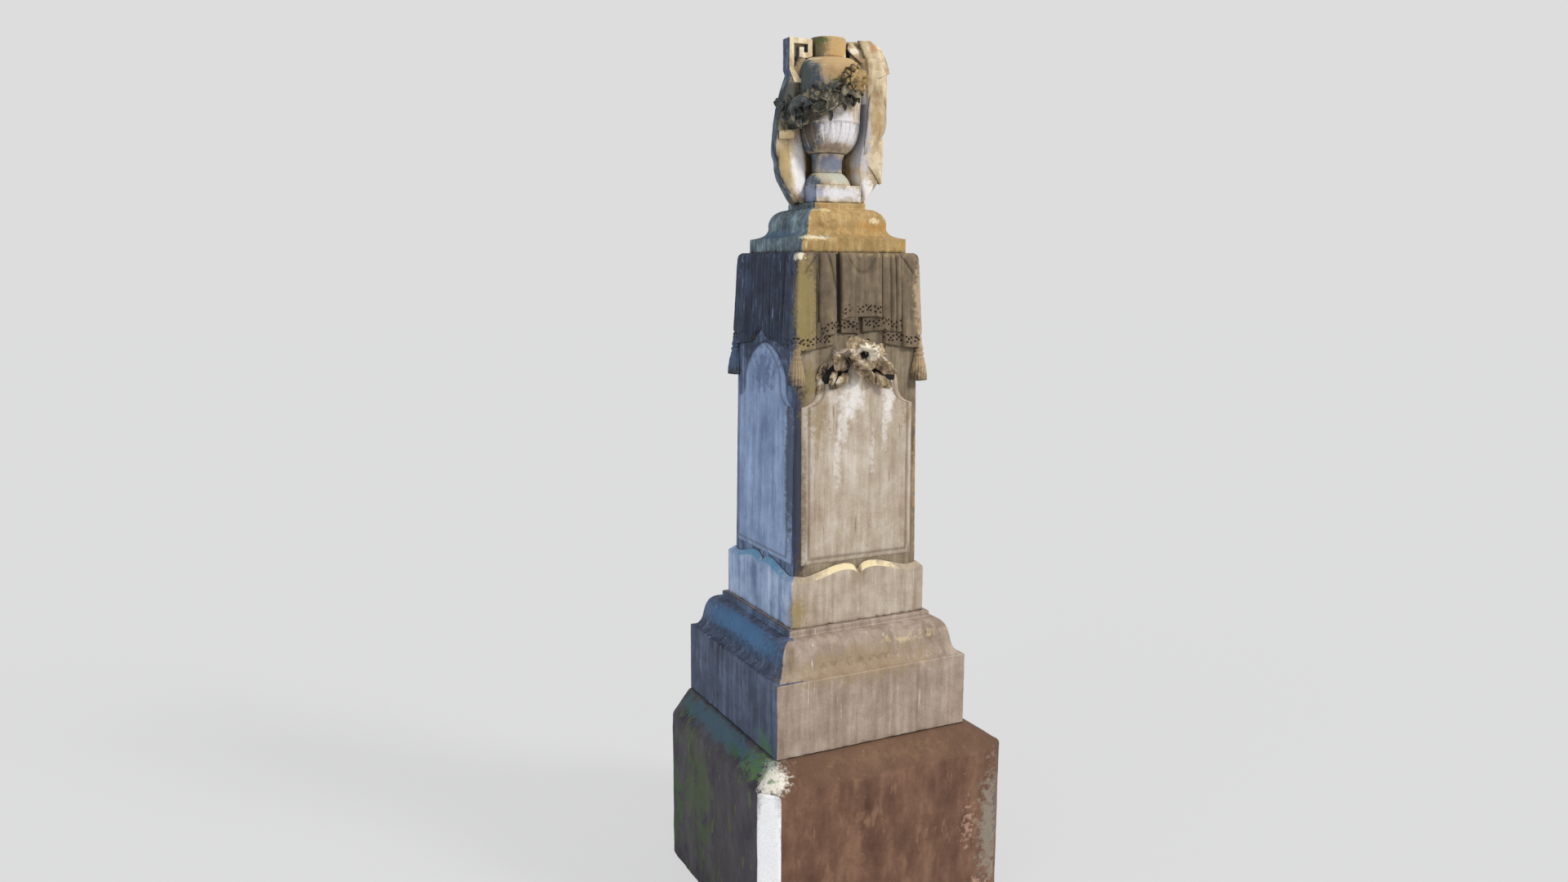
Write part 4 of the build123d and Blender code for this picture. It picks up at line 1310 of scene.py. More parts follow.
@dataclass
class UrnMantle:
    """Cloth that hangs over the right handle and round the back of the urn, open to the front."""

    finish: bpy.types.Material
    # how far back the cloth reaches, outside and inside, and the height that it stays under
    back: float = 128.0
    inner_back: float = 78.0
    ceiling: float = 2899.0
    stations: tuple[tuple[float, ...], ...] = (
        # height, left reach, right reach, width of the left front, width of the right front
        (2371, 118, 112, 16, 20),
        (2400, 143, 134, 26, 34),
        (2440, 170, 164, 40, 70),
        (2470, 183, 169, 46, 80),
        (2500, 186, 170, 46, 82),
        (2534, 196, 172, 48, 78),
        (2580, 192, 172, 46, 66),
        (2634, 184, 190, 44, 74),
        (2687, 172, 193, 42, 77),
        (2740, 155, 191, 38, 77),
        (2788, 135, 191, 34, 77),
        (2834, 112, 184, 30, 75),
    )
    laps: tuple[Lap, ...] = (
        # the long front fold, its thick end over the shoulder and the short one under that end
        Lap(
            ((128, -62, 2742), (116, -68, 2690), (110, -68, 2620), (100, -64, 2530)),
            (
                (152, -66, 2732), (178, -64, 2690), (192, -58, 2646), (180, -62, 2600), (140, -66, 2556),
                (104, -62, 2526),
            ),
            bulge=12.0, thick=8.0, ripple=2.0, rim=-0.9,
        ),
        Lap(
            ((92, -36, 2892), (104, -50, 2850), (118, -60, 2806), (128, -62, 2764)),
            ((134, -38, 2893), (168, -46, 2872), (188, -54, 2836), (203, -56, 2793)),
            bulge=15.0, thick=16.0, ripple=4.5,
        ),
        Lap(
            ((126, -56, 2776), (124, -60, 2756), (126, -62, 2734)),
            ((196, -44, 2790), (190, -48, 2740), (194, -46, 2650)),
            bulge=2.0, thick=10.0, ripple=1.5,
        ),
        # the lower fold, turned the other way
        Lap(
            ((94, -60, 2524), (100, -66, 2506), (112, -68, 2492), (136, -70, 2468), (164, -66, 2434)),
            ((178, -60, 2586), (178, -62, 2540), (176, -62, 2500), (174, -62, 2468), (168, -62, 2436)),
            bulge=9.0, thick=12.0, ripple=1.5,
        ),
        # the cloth drawn round the neck
        Lap(
            ((48, -44, 2862), (62, -38, 2850), (84, -36, 2836), (104, -40, 2820)),
            ((60, -30, 2884), (84, -30, 2874), (108, -34, 2860), (122, -40, 2840)),
            bulge=4.0, thick=12.0, ripple=1.0,
        ),
        # the wall behind the hollow by the neck
        Lap(
            ((44, 22, 2893), (44, 20, 2870), (44, 16, 2840)),
            ((124, 4, 2896), (124, 4, 2872), (124, 0, 2840)),
            bulge=2.0, thick=16.0, ripple=1.0,
        ),
        # the collar across the left fall
        Lap(
            ((-188, -22, 2594), (-190, -26, 2580), (-189, -22, 2566)),
            ((-139, -30, 2598), (-136, -34, 2585), (-139, -28, 2570)),
            bulge=6.0, thick=18.0, ripple=0.0,
        ),
    )

    def loop(self, station: tuple[float, ...]) -> list[Vector]:
        """Ring of control points round the mantle at one height.

        Args:
            station: height, reaches and front widths.

        Returns:
            The ring, from the left front corner round the back.
        """
        z, left, right, front_left, front_right = station
        back = self.back * min(1.0, 0.75 + left / 600)
        inner = self.inner_back
        inside_left, inside_right = front_left - left, right - front_right
        flat = (
            (-left, -8), (-left - 1, 6), (-left * 0.97, 40), (-left * 0.76, 92), (-62, back - 6), (0, back),
            (70, back - 5), (right * 0.8, 90), (right * 0.99, 30), (right + 2, -26), (right, -54), (right - 8, -64),
            ((right + inside_right) / 2, -69), (inside_right + 6, -66), (inside_right, -56), (inside_right - 6, -20),
            (inside_right * 0.8, 39), (44, inner - 10), (0, inner), (-40, inner - 22), (inside_left * 0.56, 12),
            (inside_left * 0.82, -4), (inside_left, -13), (inside_left - 4, -18),
            ((inside_left - left) / 2, -22), (-left + 5, -16),
        )
        return [Vector((x, y, z)) for x, y in flat]

    def mantle(self) -> Shape:
        """Carve the hanging cloth.

        Returns:
            The closed mantle.
        """
        rings = [self.loop(station) for station in self.stations]

        def place(across: float, up: float) -> Vector:
            """Point of the mantle's skin, with upright folds on its outer face."""
            column = [along(ring, across, closed=True) for ring in rings]
            spot = along(column, up)
            outside = ramp(0.0, 0.05, across) * ramp(0.44, 0.38, across)
            sway = 5 * math.sin(spot.z / 70)
            fold = 0.5 + 0.5 * math.sin(across * 78 + sway * 0.12)
            depth = outside * 9 * (1 - fold**0.7) * (0.5 + 0.5 * ramp(2790, 2500, spot.z))
            depth += 1.5 * rough(spot, 26.0) + 2.2 * crown(0.62, 0.74, across, 1.0) * math.sin(spot.z / 17)
            flat = Vector((spot.x, spot.y, 0))
            hem = 7 * math.sin(across * 60) * ramp(0.12, 0.0, up)
            return spot - flat.normalized() * depth * (1 if outside > 0 else 0.6) + Vector((0, 0, hem))

        bm = mapped_grid(300, 110, place)
        weld(bm)
        return bm

    def shoulder(self) -> Shape:
        """Carve the part that lies over the right handle.

        Returns:
            The closed shoulder.
        """
        # height, inner and outer reach to the right, front and rear
        rows = (
            (2690, 93, 189, -58, 76),
            (2740, 97, 190, -60, 76),
            (2780, 103, 193, -58, 74),
            (2820, 107, 187, -52, 70),
            (2860, 111, 177, -44, 64),
            (2886, 115, 161, -34, 54),
            (2898, 125, 145, -16, 36),
        )

        def place(across: float, up: float) -> Vector:
            """Point of the shoulder's skin."""
            z, inner, outer, front, rear = (along([row[i] for row in rows], up) for i in range(5))
            turn = math.tau * across
            fold = 1 + 0.035 * math.sin(turn * 7 + z / 26)
            reach = [math.copysign(abs(v) ** 0.62, v) for v in (math.cos(turn), math.sin(turn))]
            x = (inner + outer) / 2 + (outer - inner) / 2 * reach[0] * fold
            y = (front + rear) / 2 + (rear - front) / 2 * reach[1] * fold
            spot = Vector((x, y, z))
            return spot + Vector((1, -1, 0)) * rough(spot, 22.0)

        bm = mapped_grid(96, 60, place)
        weld(bm)
        return bm

    def build(self) -> None:
        """Build the whole cloth as one piece."""
        bm = self.mantle()
        absorb(bm, self.shoulder())
        for lap in self.laps:
            absorb(bm, lap.carve())
        bmesh.ops.translate(bm, vec=STACK, verts=bm.verts)
        for vert in bm.verts:
            vert.co.z = min(vert.co.z, self.ceiling)
        finish_piece(bm, "urn_mantle", self.finish, ["urn_cloth"], "carved_marble")


@dataclass
class Garland:
    """Rope of leaves laid slantwise round the bowl, with a bunch of flowers at its high end."""

    finish: bpy.types.Material
    flower_finish: bpy.types.Material
    path: tuple[tuple[float, ...], ...] = (
        # turn round the urn, reach from its axis, height, half height, half depth
        (-72, 112, 2726, 10, 10),
        (-86, 114, 2716, 28, 22),
        (-106, 114, 2702, 42, 26),
        (-132, 116, 2680, 48, 28),
        (-156, 124, 2660, 52, 30),
        (-174, 142, 2646, 58, 32),
        (-186, 156, 2640, 52, 24),
    )
    leaves: int = 60
    # turn round the urn, height and size of the big curled leaves
    curls: tuple[Point, ...] = (
        (-96, 2728, 46), (-108, 2694, 60), (-122, 2716, 46), (-122, 2668, 54), (-142, 2706, 48), (-156, 2690, 46),
        (-170, 2700, 42), (-150, 2650, 44), (-172, 2656, 44),
    )
    # the bunch: turn that it looks to, middle, leaves round it and blooms
    aim: float = -70.0
    bunch: Point = (27.0, -115.0, 2750.0)
    bunch_leaves: int = 11
    blooms: tuple[tuple[float, float, float, float], ...] = (
        # turn round the bunch, distance from its middle, bloom radius, how far it stands out
        (15, 24, 30, 22),
        (100, 30, 25, 14),
        (-50, 34, 25, 14),
        (-120, 32, 22, 10),
        (170, 32, 24, 10),
        (58, 46, 17, 4),
    )

    def spine(self, share: float) -> tuple[float, ...]:
        """Angle, reach, height, half height and half depth of the rope at a share of its length."""
        turn, *sizes = (along([row[i] for row in self.path], share) for i in range(5))
        return math.radians(turn), *sizes

    def rope_point(self, across: float, up: float) -> Vector:
        """Point of the lumpy rope under the leaves."""
        turn, reach, middle, tall, deep = self.spine(up)
        swing = math.tau * across
        end = math.sin(math.pi * min(max(up, 0.001), 0.999)) ** 0.3
        lump = 1 + 0.28 * noise.noise(Vector((across * 9, up * 16, 3.0)))
        lump += 0.2 * noise.noise(Vector((across * 23, up * 40, 8.0)))
        out = reach + deep * math.cos(swing) * lump * end
        height = middle + tall * math.sin(swing) * (0.9 + 0.1 * lump) * end
        return Vector((out * math.cos(turn), out * math.sin(turn), height))

    def rope(self) -> Shape:
        """Carve the rope and its leaves.

        Returns:
            The closed shapes.
        """
        bm = mapped_grid(64, 120, self.rope_point)
        weld(bm)
        picks = random.Random(11)
        for _ in range(self.leaves):
            share = picks.uniform(0.02, 0.99)
            turn, reach, middle, tall, deep = self.spine(share)
            swing = picks.uniform(-1.15, 1.15)
            out = reach + deep * 0.92 * math.cos(swing)
            size = picks.uniform(28, 46)
            leaf = Leaf((0, 0, 0), picks.uniform(0, 360), size, size * 0.62, picks.uniform(4, 22), cup=0.3, thick=3.2)
            self.lay(bm, leaf.carve(10, 6), turn, out, middle + tall * math.sin(swing) * 0.95)
        for index, (angle, level, size) in enumerate(self.curls):
            leaf = Leaf((0, 0, 0), 200 + 37 * (index % 3), size, size * 0.6, 26, cup=0.34, thick=4.0)
            out = 128 + 22 * ramp(-140, -175, angle)
            self.lay(bm, leaf.carve(20, 12), math.radians(angle), out, level)
        bmesh.ops.translate(bm, vec=STACK, verts=bm.verts)
        return bm

    def lay(self, bm: Shape, leaf: Shape, turn: float, out: float, height: float) -> None:
        """Add a leaf to the rope, facing away from the urn's axis.

        Args:
            bm: the rope.
            leaf: the leaf, carved about the axis.
            turn: where it goes round the urn.
            out: its distance from the axis.
            height: its height.
        """
        leaf.transform(Matrix.Rotation(turn + math.pi / 2, 4, "Z"))
        spot = Vector((out * math.cos(turn), out * math.sin(turn), height))
        bmesh.ops.translate(leaf, vec=spot, verts=leaf.verts)
        absorb(bm, leaf)

    def bloom(self, radius: float) -> Shape:
        """Carve a flower with five round petals and a drilled eye, lying flat.

        Args:
            radius: reach of its petals.

        Returns:
            The closed flower.
        """
        top = 0.82

        def place(across: float, up: float) -> Vector:
            """Point of the flower: petals over the top, then closed below."""
            turn = math.tau * across
            petal = abs(math.cos(2.5 * turn)) ** 0.45
            reach = radius * (0.62 + 0.38 * petal)
            if up > top:
                return Vector((reach * 0.7 * math.cos(turn), reach * 0.7 * math.sin(turn), -radius * 0.7))
            far = up / top
            eye = -0.34 * radius * ramp(0.22, 0.08, far) + 0.10 * radius * crown(0.14, 0.4, far)
            dome = radius * (0.30 + 0.22 * petal * math.sin(math.pi * far)) - 0.34 * radius * ramp(0.72, 1.0, far)
            return Vector((reach * far * math.cos(turn), reach * far * math.sin(turn), dome + eye))

        bm = mapped_grid(50, 14, place)
        weld(bm, 0.05)
        return bm

    def cluster(self) -> Shape:
        """Carve the bunch of flowers with leaves round it.

        Returns:
            The closed shapes.
        """
        bm = bmesh.new()
        bmesh.ops.create_icosphere(bm, subdivisions=4, radius=37.0)
        for vert in bm.verts:
            vert.co *= 1 + 0.16 * rough(vert.co, 16.0)
        upright = Matrix.Rotation(math.radians(90), 4, "X")
        for turn, away, radius, out in self.blooms:
            flower = self.bloom(radius)
            lean = Matrix.Rotation(math.radians(away * 0.9), 4, "Y")
            flower.transform(Matrix.Rotation(math.radians(turn), 4, "Z") @ Matrix.Translation((away, 0, out)) @ lean)
            flower.transform(upright)
            absorb(bm, flower)
        for index in range(self.bunch_leaves):
            heading = 90 + index * 31
            leaf = Leaf((0, 4, 0), heading, 46, 24, 4, cup=0.25, thick=3.0)
            absorb(bm, leaf.carve(12, 8))
        aim = Matrix.Rotation(math.radians(self.aim + 90), 4, "Z")
        bm.transform(Matrix.Translation(Vector(self.bunch) + STACK) @ aim)
        return bm

    def build(self) -> None:
        """Build the garland and its flowers."""
        finish_piece(self.rope(), "leaf_rope", self.finish, ["garland"], "carved_marble")
        finish_piece(self.cluster(), "flower_bunch", self.flower_finish, ["flower_cluster"], "carved_marble")


# Stage


@dataclass(frozen=True)
class Lamp:
    """Wide, soft lamp far away: where its light comes from, how wide it looks in degrees, and its strength."""

    name: str
    source: Point
    angle: float
    strength: float
    distance: float = 5.0

    def build(self) -> None:
        """Hang the lamp."""
        data = bpy.data.lights.new(self.name, "SUN")
        data.angle = math.radians(self.angle)
        data.energy = self.strength
        lamp = put_in_scene(self.name, data)
        source = Vector(self.source)
        lamp.rotation_euler = (-source).to_track_quat("-Z", "Y").to_euler()
        lamp.location = source * self.distance


@dataclass
class Studio:
    """Floor, backdrop, lamps and camera, in metres and degrees."""

    paper: str = "#dddddd"
    # how much of the paper's colour shows as it is, so that the shadow on it stays soft
    paper_glow: float = 0.82
    floor_half: float = 40.0
    sky: str = "#f4f6fa"
    sky_strength: float = 0.52
    lamps: tuple[Lamp, ...] = (Lamp("key", (0.52, -0.62, 0.58), 14, 2.3), Lamp("fill", (-0.85, -0.30, 0.40), 40, 0.7))
    # the camera's place, the turn and height that it looks from, its roll, its lens and sensor in millimetres
    place: Point = (-1.8745, -3.3304, 2.1529)
    azimuth: float = -26.7914
    elevation: float = 8.6301
    roll: float = 0.2379
    lens: float = 25.907
    sensor: float = 36.0
    sight: float = 100.0

    def camera(self) -> None:
        """Put the camera where the photograph was taken from."""
        az, el, roll = (math.radians(v) for v in (self.azimuth, self.elevation, self.roll))
        back = Vector((math.sin(az) * math.cos(el), -math.cos(az) * math.cos(el), math.sin(el)))
        right = Vector((math.cos(az), math.sin(az), 0))
        up = back.cross(right)
        across = right * math.cos(roll) + up * math.sin(roll)
        over = up * math.cos(roll) - right * math.sin(roll)
        data = bpy.data.cameras.new("camera")
        data.lens = self.lens
        data.sensor_width = self.sensor
        data.clip_end = self.sight
        view = put_in_scene("camera", data)
        view.matrix_world = Matrix.Translation(self.place) @ Matrix((across, over, back)).transposed().to_4x4()
        bpy.context.scene.camera = view

    def floor(self) -> None:
        """Lay a pale paper floor, which keeps a soft shadow."""
        bm = bmesh.new()
        bmesh.ops.create_grid(bm, x_segments=1, y_segments=1, size=self.floor_half)
        mesh = bpy.data.meshes.new("floor")
        bm.to_mesh(mesh)
        bm.free()
        material = bpy.data.materials.new("matt_paper")
        g = Graph(material)
        matt = g.add("BsdfDiffuse", {"Color": srgb(self.paper)}).outputs[0]
        plain = g.add("Emission", {"Color": srgb(self.paper)}).outputs[0]
        seen = g.add("LightPath").outputs["Is Camera Ray"]
        share = g.add("Math", {0: seen, 1: self.paper_glow}, operation="MULTIPLY").outputs[0]
        both = g.add("MixShader", {0: share, 1: matt, 2: plain}).outputs[0]
        g.add("OutputMaterial", {"Surface": both})
        mesh.materials.append(material)
        put_in_scene("floor", mesh)

    def world(self) -> None:
        """Light the object softly from all round, and show a plain pale background."""
        world = bpy.data.worlds.new("studio")
        g = Graph(world)
        soft = g.add("Background", {"Color": srgb(self.sky), "Strength": self.sky_strength}).outputs[0]
        plain = g.add("Background", {"Color": srgb(self.paper)}).outputs[0]
        seen = g.add("LightPath").outputs["Is Camera Ray"]
        both = g.add("MixShader", {0: seen, 1: soft, 2: plain}).outputs[0]
        g.add("OutputWorld", {"Surface": both})
        bpy.context.scene.world = world

    def build(self) -> None:
        """Set up the whole stage."""
        self.camera()
        self.floor()
        self.world()
        for lamp in self.lamps:
            lamp.build()
        bpy.context.scene.view_settings.view_transform = "Standard"


class Finish(Enum):
    """Finishes of the monument's stones.

    A palette's colours are dark, middle, pale, drip, growth and hollow, first for the sunny aspects and then for the
    shaded one, whose colours are painted shade. A wash has its colour, centre, reach, amount, broken edge and grain.
    """

    # hewn sandstone, iron-red and matt, with slow dark patches, moss and a painted-shade palette on the left side, and
    # a white chamfer at one corner
    PLINTH = WeatheredStone(
        "hewn_red_sandstone",
        Palette("#4d3123", "#6b4c3a", "#8d6b54", "#7e5e49", "#b2957d", "#2e1d16"),
        Palette("#2f2a36", "#49444c", "#5d5a5c", "#55633c", "#4d6a35", "#1b1a20"),
        (
            Wash("#8b8374", (395, -418, 270), (84, 60, 330), 0.85, 0.55, 26),
            Wash("#4a4a46", (425, -418, 330), (45, 60, 190), 0.7, 0.7, 20),
            Wash("#c9a68f", (330, -418, 60), (90, 40, 60), 0.6, 0.75, 24),
            Wash("#c39c86", (300, -418, 300), (60, 40, 170), 0.6, 0.9, 16),
            Wash("#8f6d52", (-130, -418, 330), (60, 40, 260), 0.4, 0.7, 50),
            Wash("#7f6549", (0, -390, 606), (470, 50, 50), 0.5, 0.6, 30),
            Wash("#b3bcae", (-400, -330, 612), (70, 70, 60), 0.75, 0.65, 14),
            Wash("#ffffff", (-437, -390, 250), (60, 60, 420), 1.0, 0.12, 22, (-0.70, -0.71, 0.0)),
            Wash("#eee7d8", (-420, -372, 584), (76, 66, 54), 0.9, 0.4, 12),
            Wash("#587f45", (-420, -260, 600), (80, 150, 80), 0.8, 0.6, 24),
            Wash("#3f6a46", (-430, 300, 590), (60, 110, 70), 0.6, 0.7, 40),
            Wash("#46663a", (-465, 330, 250), (40, 110, 330), 0.6, 0.7, 60),
            Wash("#4c6038", (-465, 120, 320), (40, 260, 420), 0.6, 0.7, 70),
            Wash("#46403f", (-465, -120, 250), (40, 190, 330), 0.5, 0.6, 60),
            # painted shade, teal-blue, on the left side's sloping wash
            Wash("#42606f", (-424, 60, 606), (70, 440, 50), 0.85, 0.4, 24),
            Wash("#3c5f3a", (-440, -120, 596), (50, 150, 50), 0.7, 0.8, 26),
        ),
        patch=150, streak=60, streak_stretch=0.35, drip_cut=0.60, growth_cut=0.66, growth_size=42, ledge="#664b38",
        grain=4.0, grain_height=1.0, roughness=0.92,
        shade_from=-374, shade_limit=0.25, contrast=0.65,
    )
    # rubbed marble under the drip of the stones above: fine upright streaks, no lichen
    BASE = WeatheredStone(
        "streaked_base_marble",
        Palette("#7c6a57", "#9c8a7b", "#b9a999", "#d6cabe", "#8b6f44", "#4a3c2e"),
        Palette("#2b3242", "#475166", "#66748f", "#a9b8d2", "#3c5a48", "#1b1f2c"),
        (
            Wash("#998261", (-60, -320, 895), (430, 110, 90), 0.6, 0.45, 24),
            Wash("#dcc59a", (140, -330, 950), (230, 80, 26), 0.5, 0.6, 24),
            Wash("#6e5b3f", (-60, -330, 905), (300, 60, 26), 0.45, 0.7, 20),
            # painted shade: blue and dark blue on the left-facing ogee
            Wash("#44709a", (-330, 20, 948), (110, 420, 76), 0.8, 0.4, 12, (-0.9, 0.0, 0.43)),
            Wash("#2a3142", (-340, 30, 905), (90, 420, 40), 0.6, 0.6, 16, (-0.9, 0.0, 0.43)),
            Wash("#3f6e45", (-390, -250, 660), (40, 120, 60), 0.7, 0.7, 30),
        ),
        patch=110, streak=26, streak_stretch=0.07, drip_cut=0.66, growth_cut=0.68,
        shade_from=-288, contrast=0.75,
    )
    # cleaner, paler marble; its level top takes a yellow painted highlight
    LABEL = WeatheredStone(
        "pale_label_marble",
        Palette("#8e7c65", "#ac9b89", "#c6b9a7", "#d9cebd", "#937d4a", "#4b3f30"),
        Palette("#627597", "#8da1c0", "#b7c9e3", "#d5e6fe", "#6a8c9c", "#262c3c"),
        (
            Wash("#94814f", (-262, -232, 1060), (60, 60, 90), 0.7, 0.5, 10),
            # painted highlight, pale yellow, on the label's top front bevel
            Wash("#efdcae", (-50, -246, 1184), (190, 60, 50), 0.9, 0.3, 26, (0.0, -0.71, 0.71)),
            # painted sky light, pale blue, on the label's top left bevel
            Wash("#5f97b8", (-290, 30, 1184), (60, 230, 50), 0.8, 0.2, 12, (-0.71, 0.0, 0.71)),
        ),
        patch=90, streak=24, streak_stretch=0.08, drip_cut=0.68, growth_cut=0.67, ledge="#a8967a",
        shade_from=-254, contrast=0.75, ledge_share=0.5,
    )
    # marble of the shaft, dull and brown from the rain that runs down it
    DIE = WeatheredStone(
        "rain_streaked_die_marble",
        Palette("#5e5040", "#83745d", "#9f917d", "#6e5e48", "#736235", "#3d332a"),
        Palette("#333d52", "#5b6b89", "#8496b6", "#a3b5d2", "#3c4f5c", "#1d2230"),
        (
            Wash("#8d7c4a", (-215, -215, 1800), (60, 60, 130), 0.7, 0.6, 26),
            # painted shadow in the groove along the front left corner
            Wash("#372f28", (-240, -216, 1480), (44, 34, 420), 0.9, 0.25, 22),
            Wash("#b98f58", (196, -212, 1500), (22, 60, 330), 0.6, 0.6, 26),
            Wash("#dcd6cb", (-90, -212, 1885), (60, 40, 26), 0.8, 0.5, 18),
            # painted shade round the arch of the left tablet
            Wash("#272f43", (-250, 17, 1850), (30, 240, 120), 0.8, 0.35, 34),
            # painted shade, dark blue, along the left face by the front corner
            Wash("#2c364c", (-256, -200, 1480), (30, 34, 420), 0.8, 0.3, 24),
        ),
        patch=80, streak=20, streak_stretch=0.07, drip_cut=0.64, growth_cut=0.70,
        shade_from=-240, contrast=0.85,
    )
    # the same marble, bleached white where the rain washes the field, with painted shade along the border
    TABLET = WeatheredStone(
        "bleached_tablet_marble",
        Palette("#917c65", "#b3a390", "#d3c9bc", "#89765f", "#998056", "#5a4b3b"),
        Palette("#5e7296", "#8398ba", "#a4bade", "#5b7094", "#637d98", "#2a3144"),
        (
            Wash("#e8e3dd", (-62, -234, 1744), (66, 40, 84), 0.8, 0.35, 34),
            Wash("#e6e1da", (-92, -234, 1660), (34, 40, 120), 0.6, 0.4, 22),
            Wash("#e8e3dd", (80, -234, 1736), (34, 40, 92), 0.8, 0.35, 30),
            Wash("#e6e1da", (66, -234, 1640), (20, 40, 110), 0.5, 0.4, 18),
            # painted shade along the front tablet's left border
            Wash("#63533f", (-234, -234, 1440), (17, 40, 330), 0.6, 0.3, 16),
            Wash("#e8e3dd", (-110, -234, 1560), (22, 40, 150), 0.45, 0.5, 18),
            Wash("#e8e3dd", (20, -234, 1560), (16, 40, 170), 0.4, 0.5, 18),
            Wash("#94805f", (-180, -234, 1690), (80, 40, 140), 0.7, 0.5, 14),
            Wash("#957f5c", (160, -234, 1690), (60, 40, 110), 0.75, 0.6, 40),
            Wash("#7a4f42", (-262, 10, 1172), (24, 190, 8), 0.7, 0.3, 20),
            # painted shade on the top of the left tablet
            Wash("#46557a", (-260, 10, 1830), (30, 130, 110), 0.65, 0.5, 30),
            # painted shade along the left tablet's edge by the front corner
            Wash("#2c364c", (-262, -178, 1560), (26, 34, 360), 0.75, 0.35, 24),
        ),
        patch=100, streak=26, streak_stretch=0.09, drip_cut=0.63, growth_cut=0.72,
        shade_from=-240, contrast=0.6,
    )
    # marble under a thick ochre lichen that the sun feeds
    CAP = WeatheredStone(
        "lichened_cap_marble",
        Palette("#897041", "#ab8d5a", "#cbad77", "#d7be8d", "#b98539", "#4c3a22"),
        Palette("#394450", "#627079", "#94acb6", "#b0c4cd", "#446243", "#1f2831"),
        (
            Wash("#c29047", (60, -120, 2290), (140, 90, 50), 0.6, 0.7, 16),
            Wash("#ecdcb4", (70, -130, 2310), (26, 40, 16), 0.7, 0.5, 8),
            Wash("#7a6338", (-90, -140, 2300), (40, 60, 40), 0.5, 0.7, 16),
            Wash("#8d6b45", (-130, -150, 2292), (36, 60, 20), 0.7, 0.5, 20),
            # painted sunlight on the ledge by the front left corner
            Wash("#f0dfb6", (-176, -165, 2256), (80, 40, 16), 0.9, 0.5, 14),
            Wash("#e9cf98", (-110, -105, 2345), (50, 30, 14), 0.7, 0.5, 14),
            # painted shade, blue, on the left ledge
            Wash("#3f5f7c", (-190, 60, 2262), (60, 200, 34), 0.7, 0.5, 14),
            Wash("#2f3d36", (-120, -20, 2330), (60, 110, 60), 0.55, 0.6, 16),
            Wash("#4d6440", (-110, -20, 2320), (60, 110, 50), 0.5, 0.7, 26),
        ),
        patch=60, streak=20, streak_stretch=0.2, drip_cut=0.64, growth_cut=0.58, growth_size=34,
        shade_from=-112, contrast=0.75,
    )
    # carved marble with soot and painted shade in every fold, so the hollows are near black and only the crowns are
    # brown
    CLOTH = WeatheredStone(
        "carved_drapery_marble",
        Palette("#4f4332", "#695a47", "#8a785f", "#7b6b52", "#7b693f", "#211b15"),
        Palette("#1d2230", "#2e3545", "#465370", "#8398bd", "#2a3a4a", "#11141c"),
        (
            Wash("#8c7b48", (-230, -215, 2050), (52, 30, 220), 0.7, 0.32, 9),
            # painted shade in the crease at the corner fall's edge
            Wash("#261f18", (-187, -215, 2060), (6, 40, 150), 0.85, 0.3, 12),
            Wash("#5b4c34", (-206, -215, 2150), (40, 30, 50), 0.6, 0.8, 12),
            Wash("#ab9470", (-252, -222, 1850), (46, 44, 76), 0.75, 0.3, 14),
            # painted shade, blue, on the back left tassel
            Wash("#55708f", (-257, 245, 1850), (50, 60, 80), 0.8, 0.4, 16),
            Wash("#bba27d", (204, -212, 1850), (46, 44, 80), 0.8, 0.3, 14),
            Wash("#d9cfb9", (-246, -206, 2196), (30, 30, 22), 0.9, 0.5, 10),
            Wash("#c9b294", (206, -212, 1935), (24, 40, 60), 0.7, 0.6, 18),
            Wash("#b8a180", (196, -225, 2060), (34, 60, 190), 0.65, 0.4, 14),
            Wash("#a08a63", (60, -190, 2200), (220, 40, 16), 0.6, 0.6, 18),
            # painted shade, dark blue, on the left side's folds
            Wash("#2b3448", (-266, 17, 1950), (42, 190, 50), 0.8, 0.3, 16),
        ),
        patch=60, streak=16, streak_stretch=0.07, drip_cut=0.66, growth_cut=0.68, growth_size=20, grain=2.5,
        grain_height=0.7,
        shade_from=-224, contrast=0.7,
    )
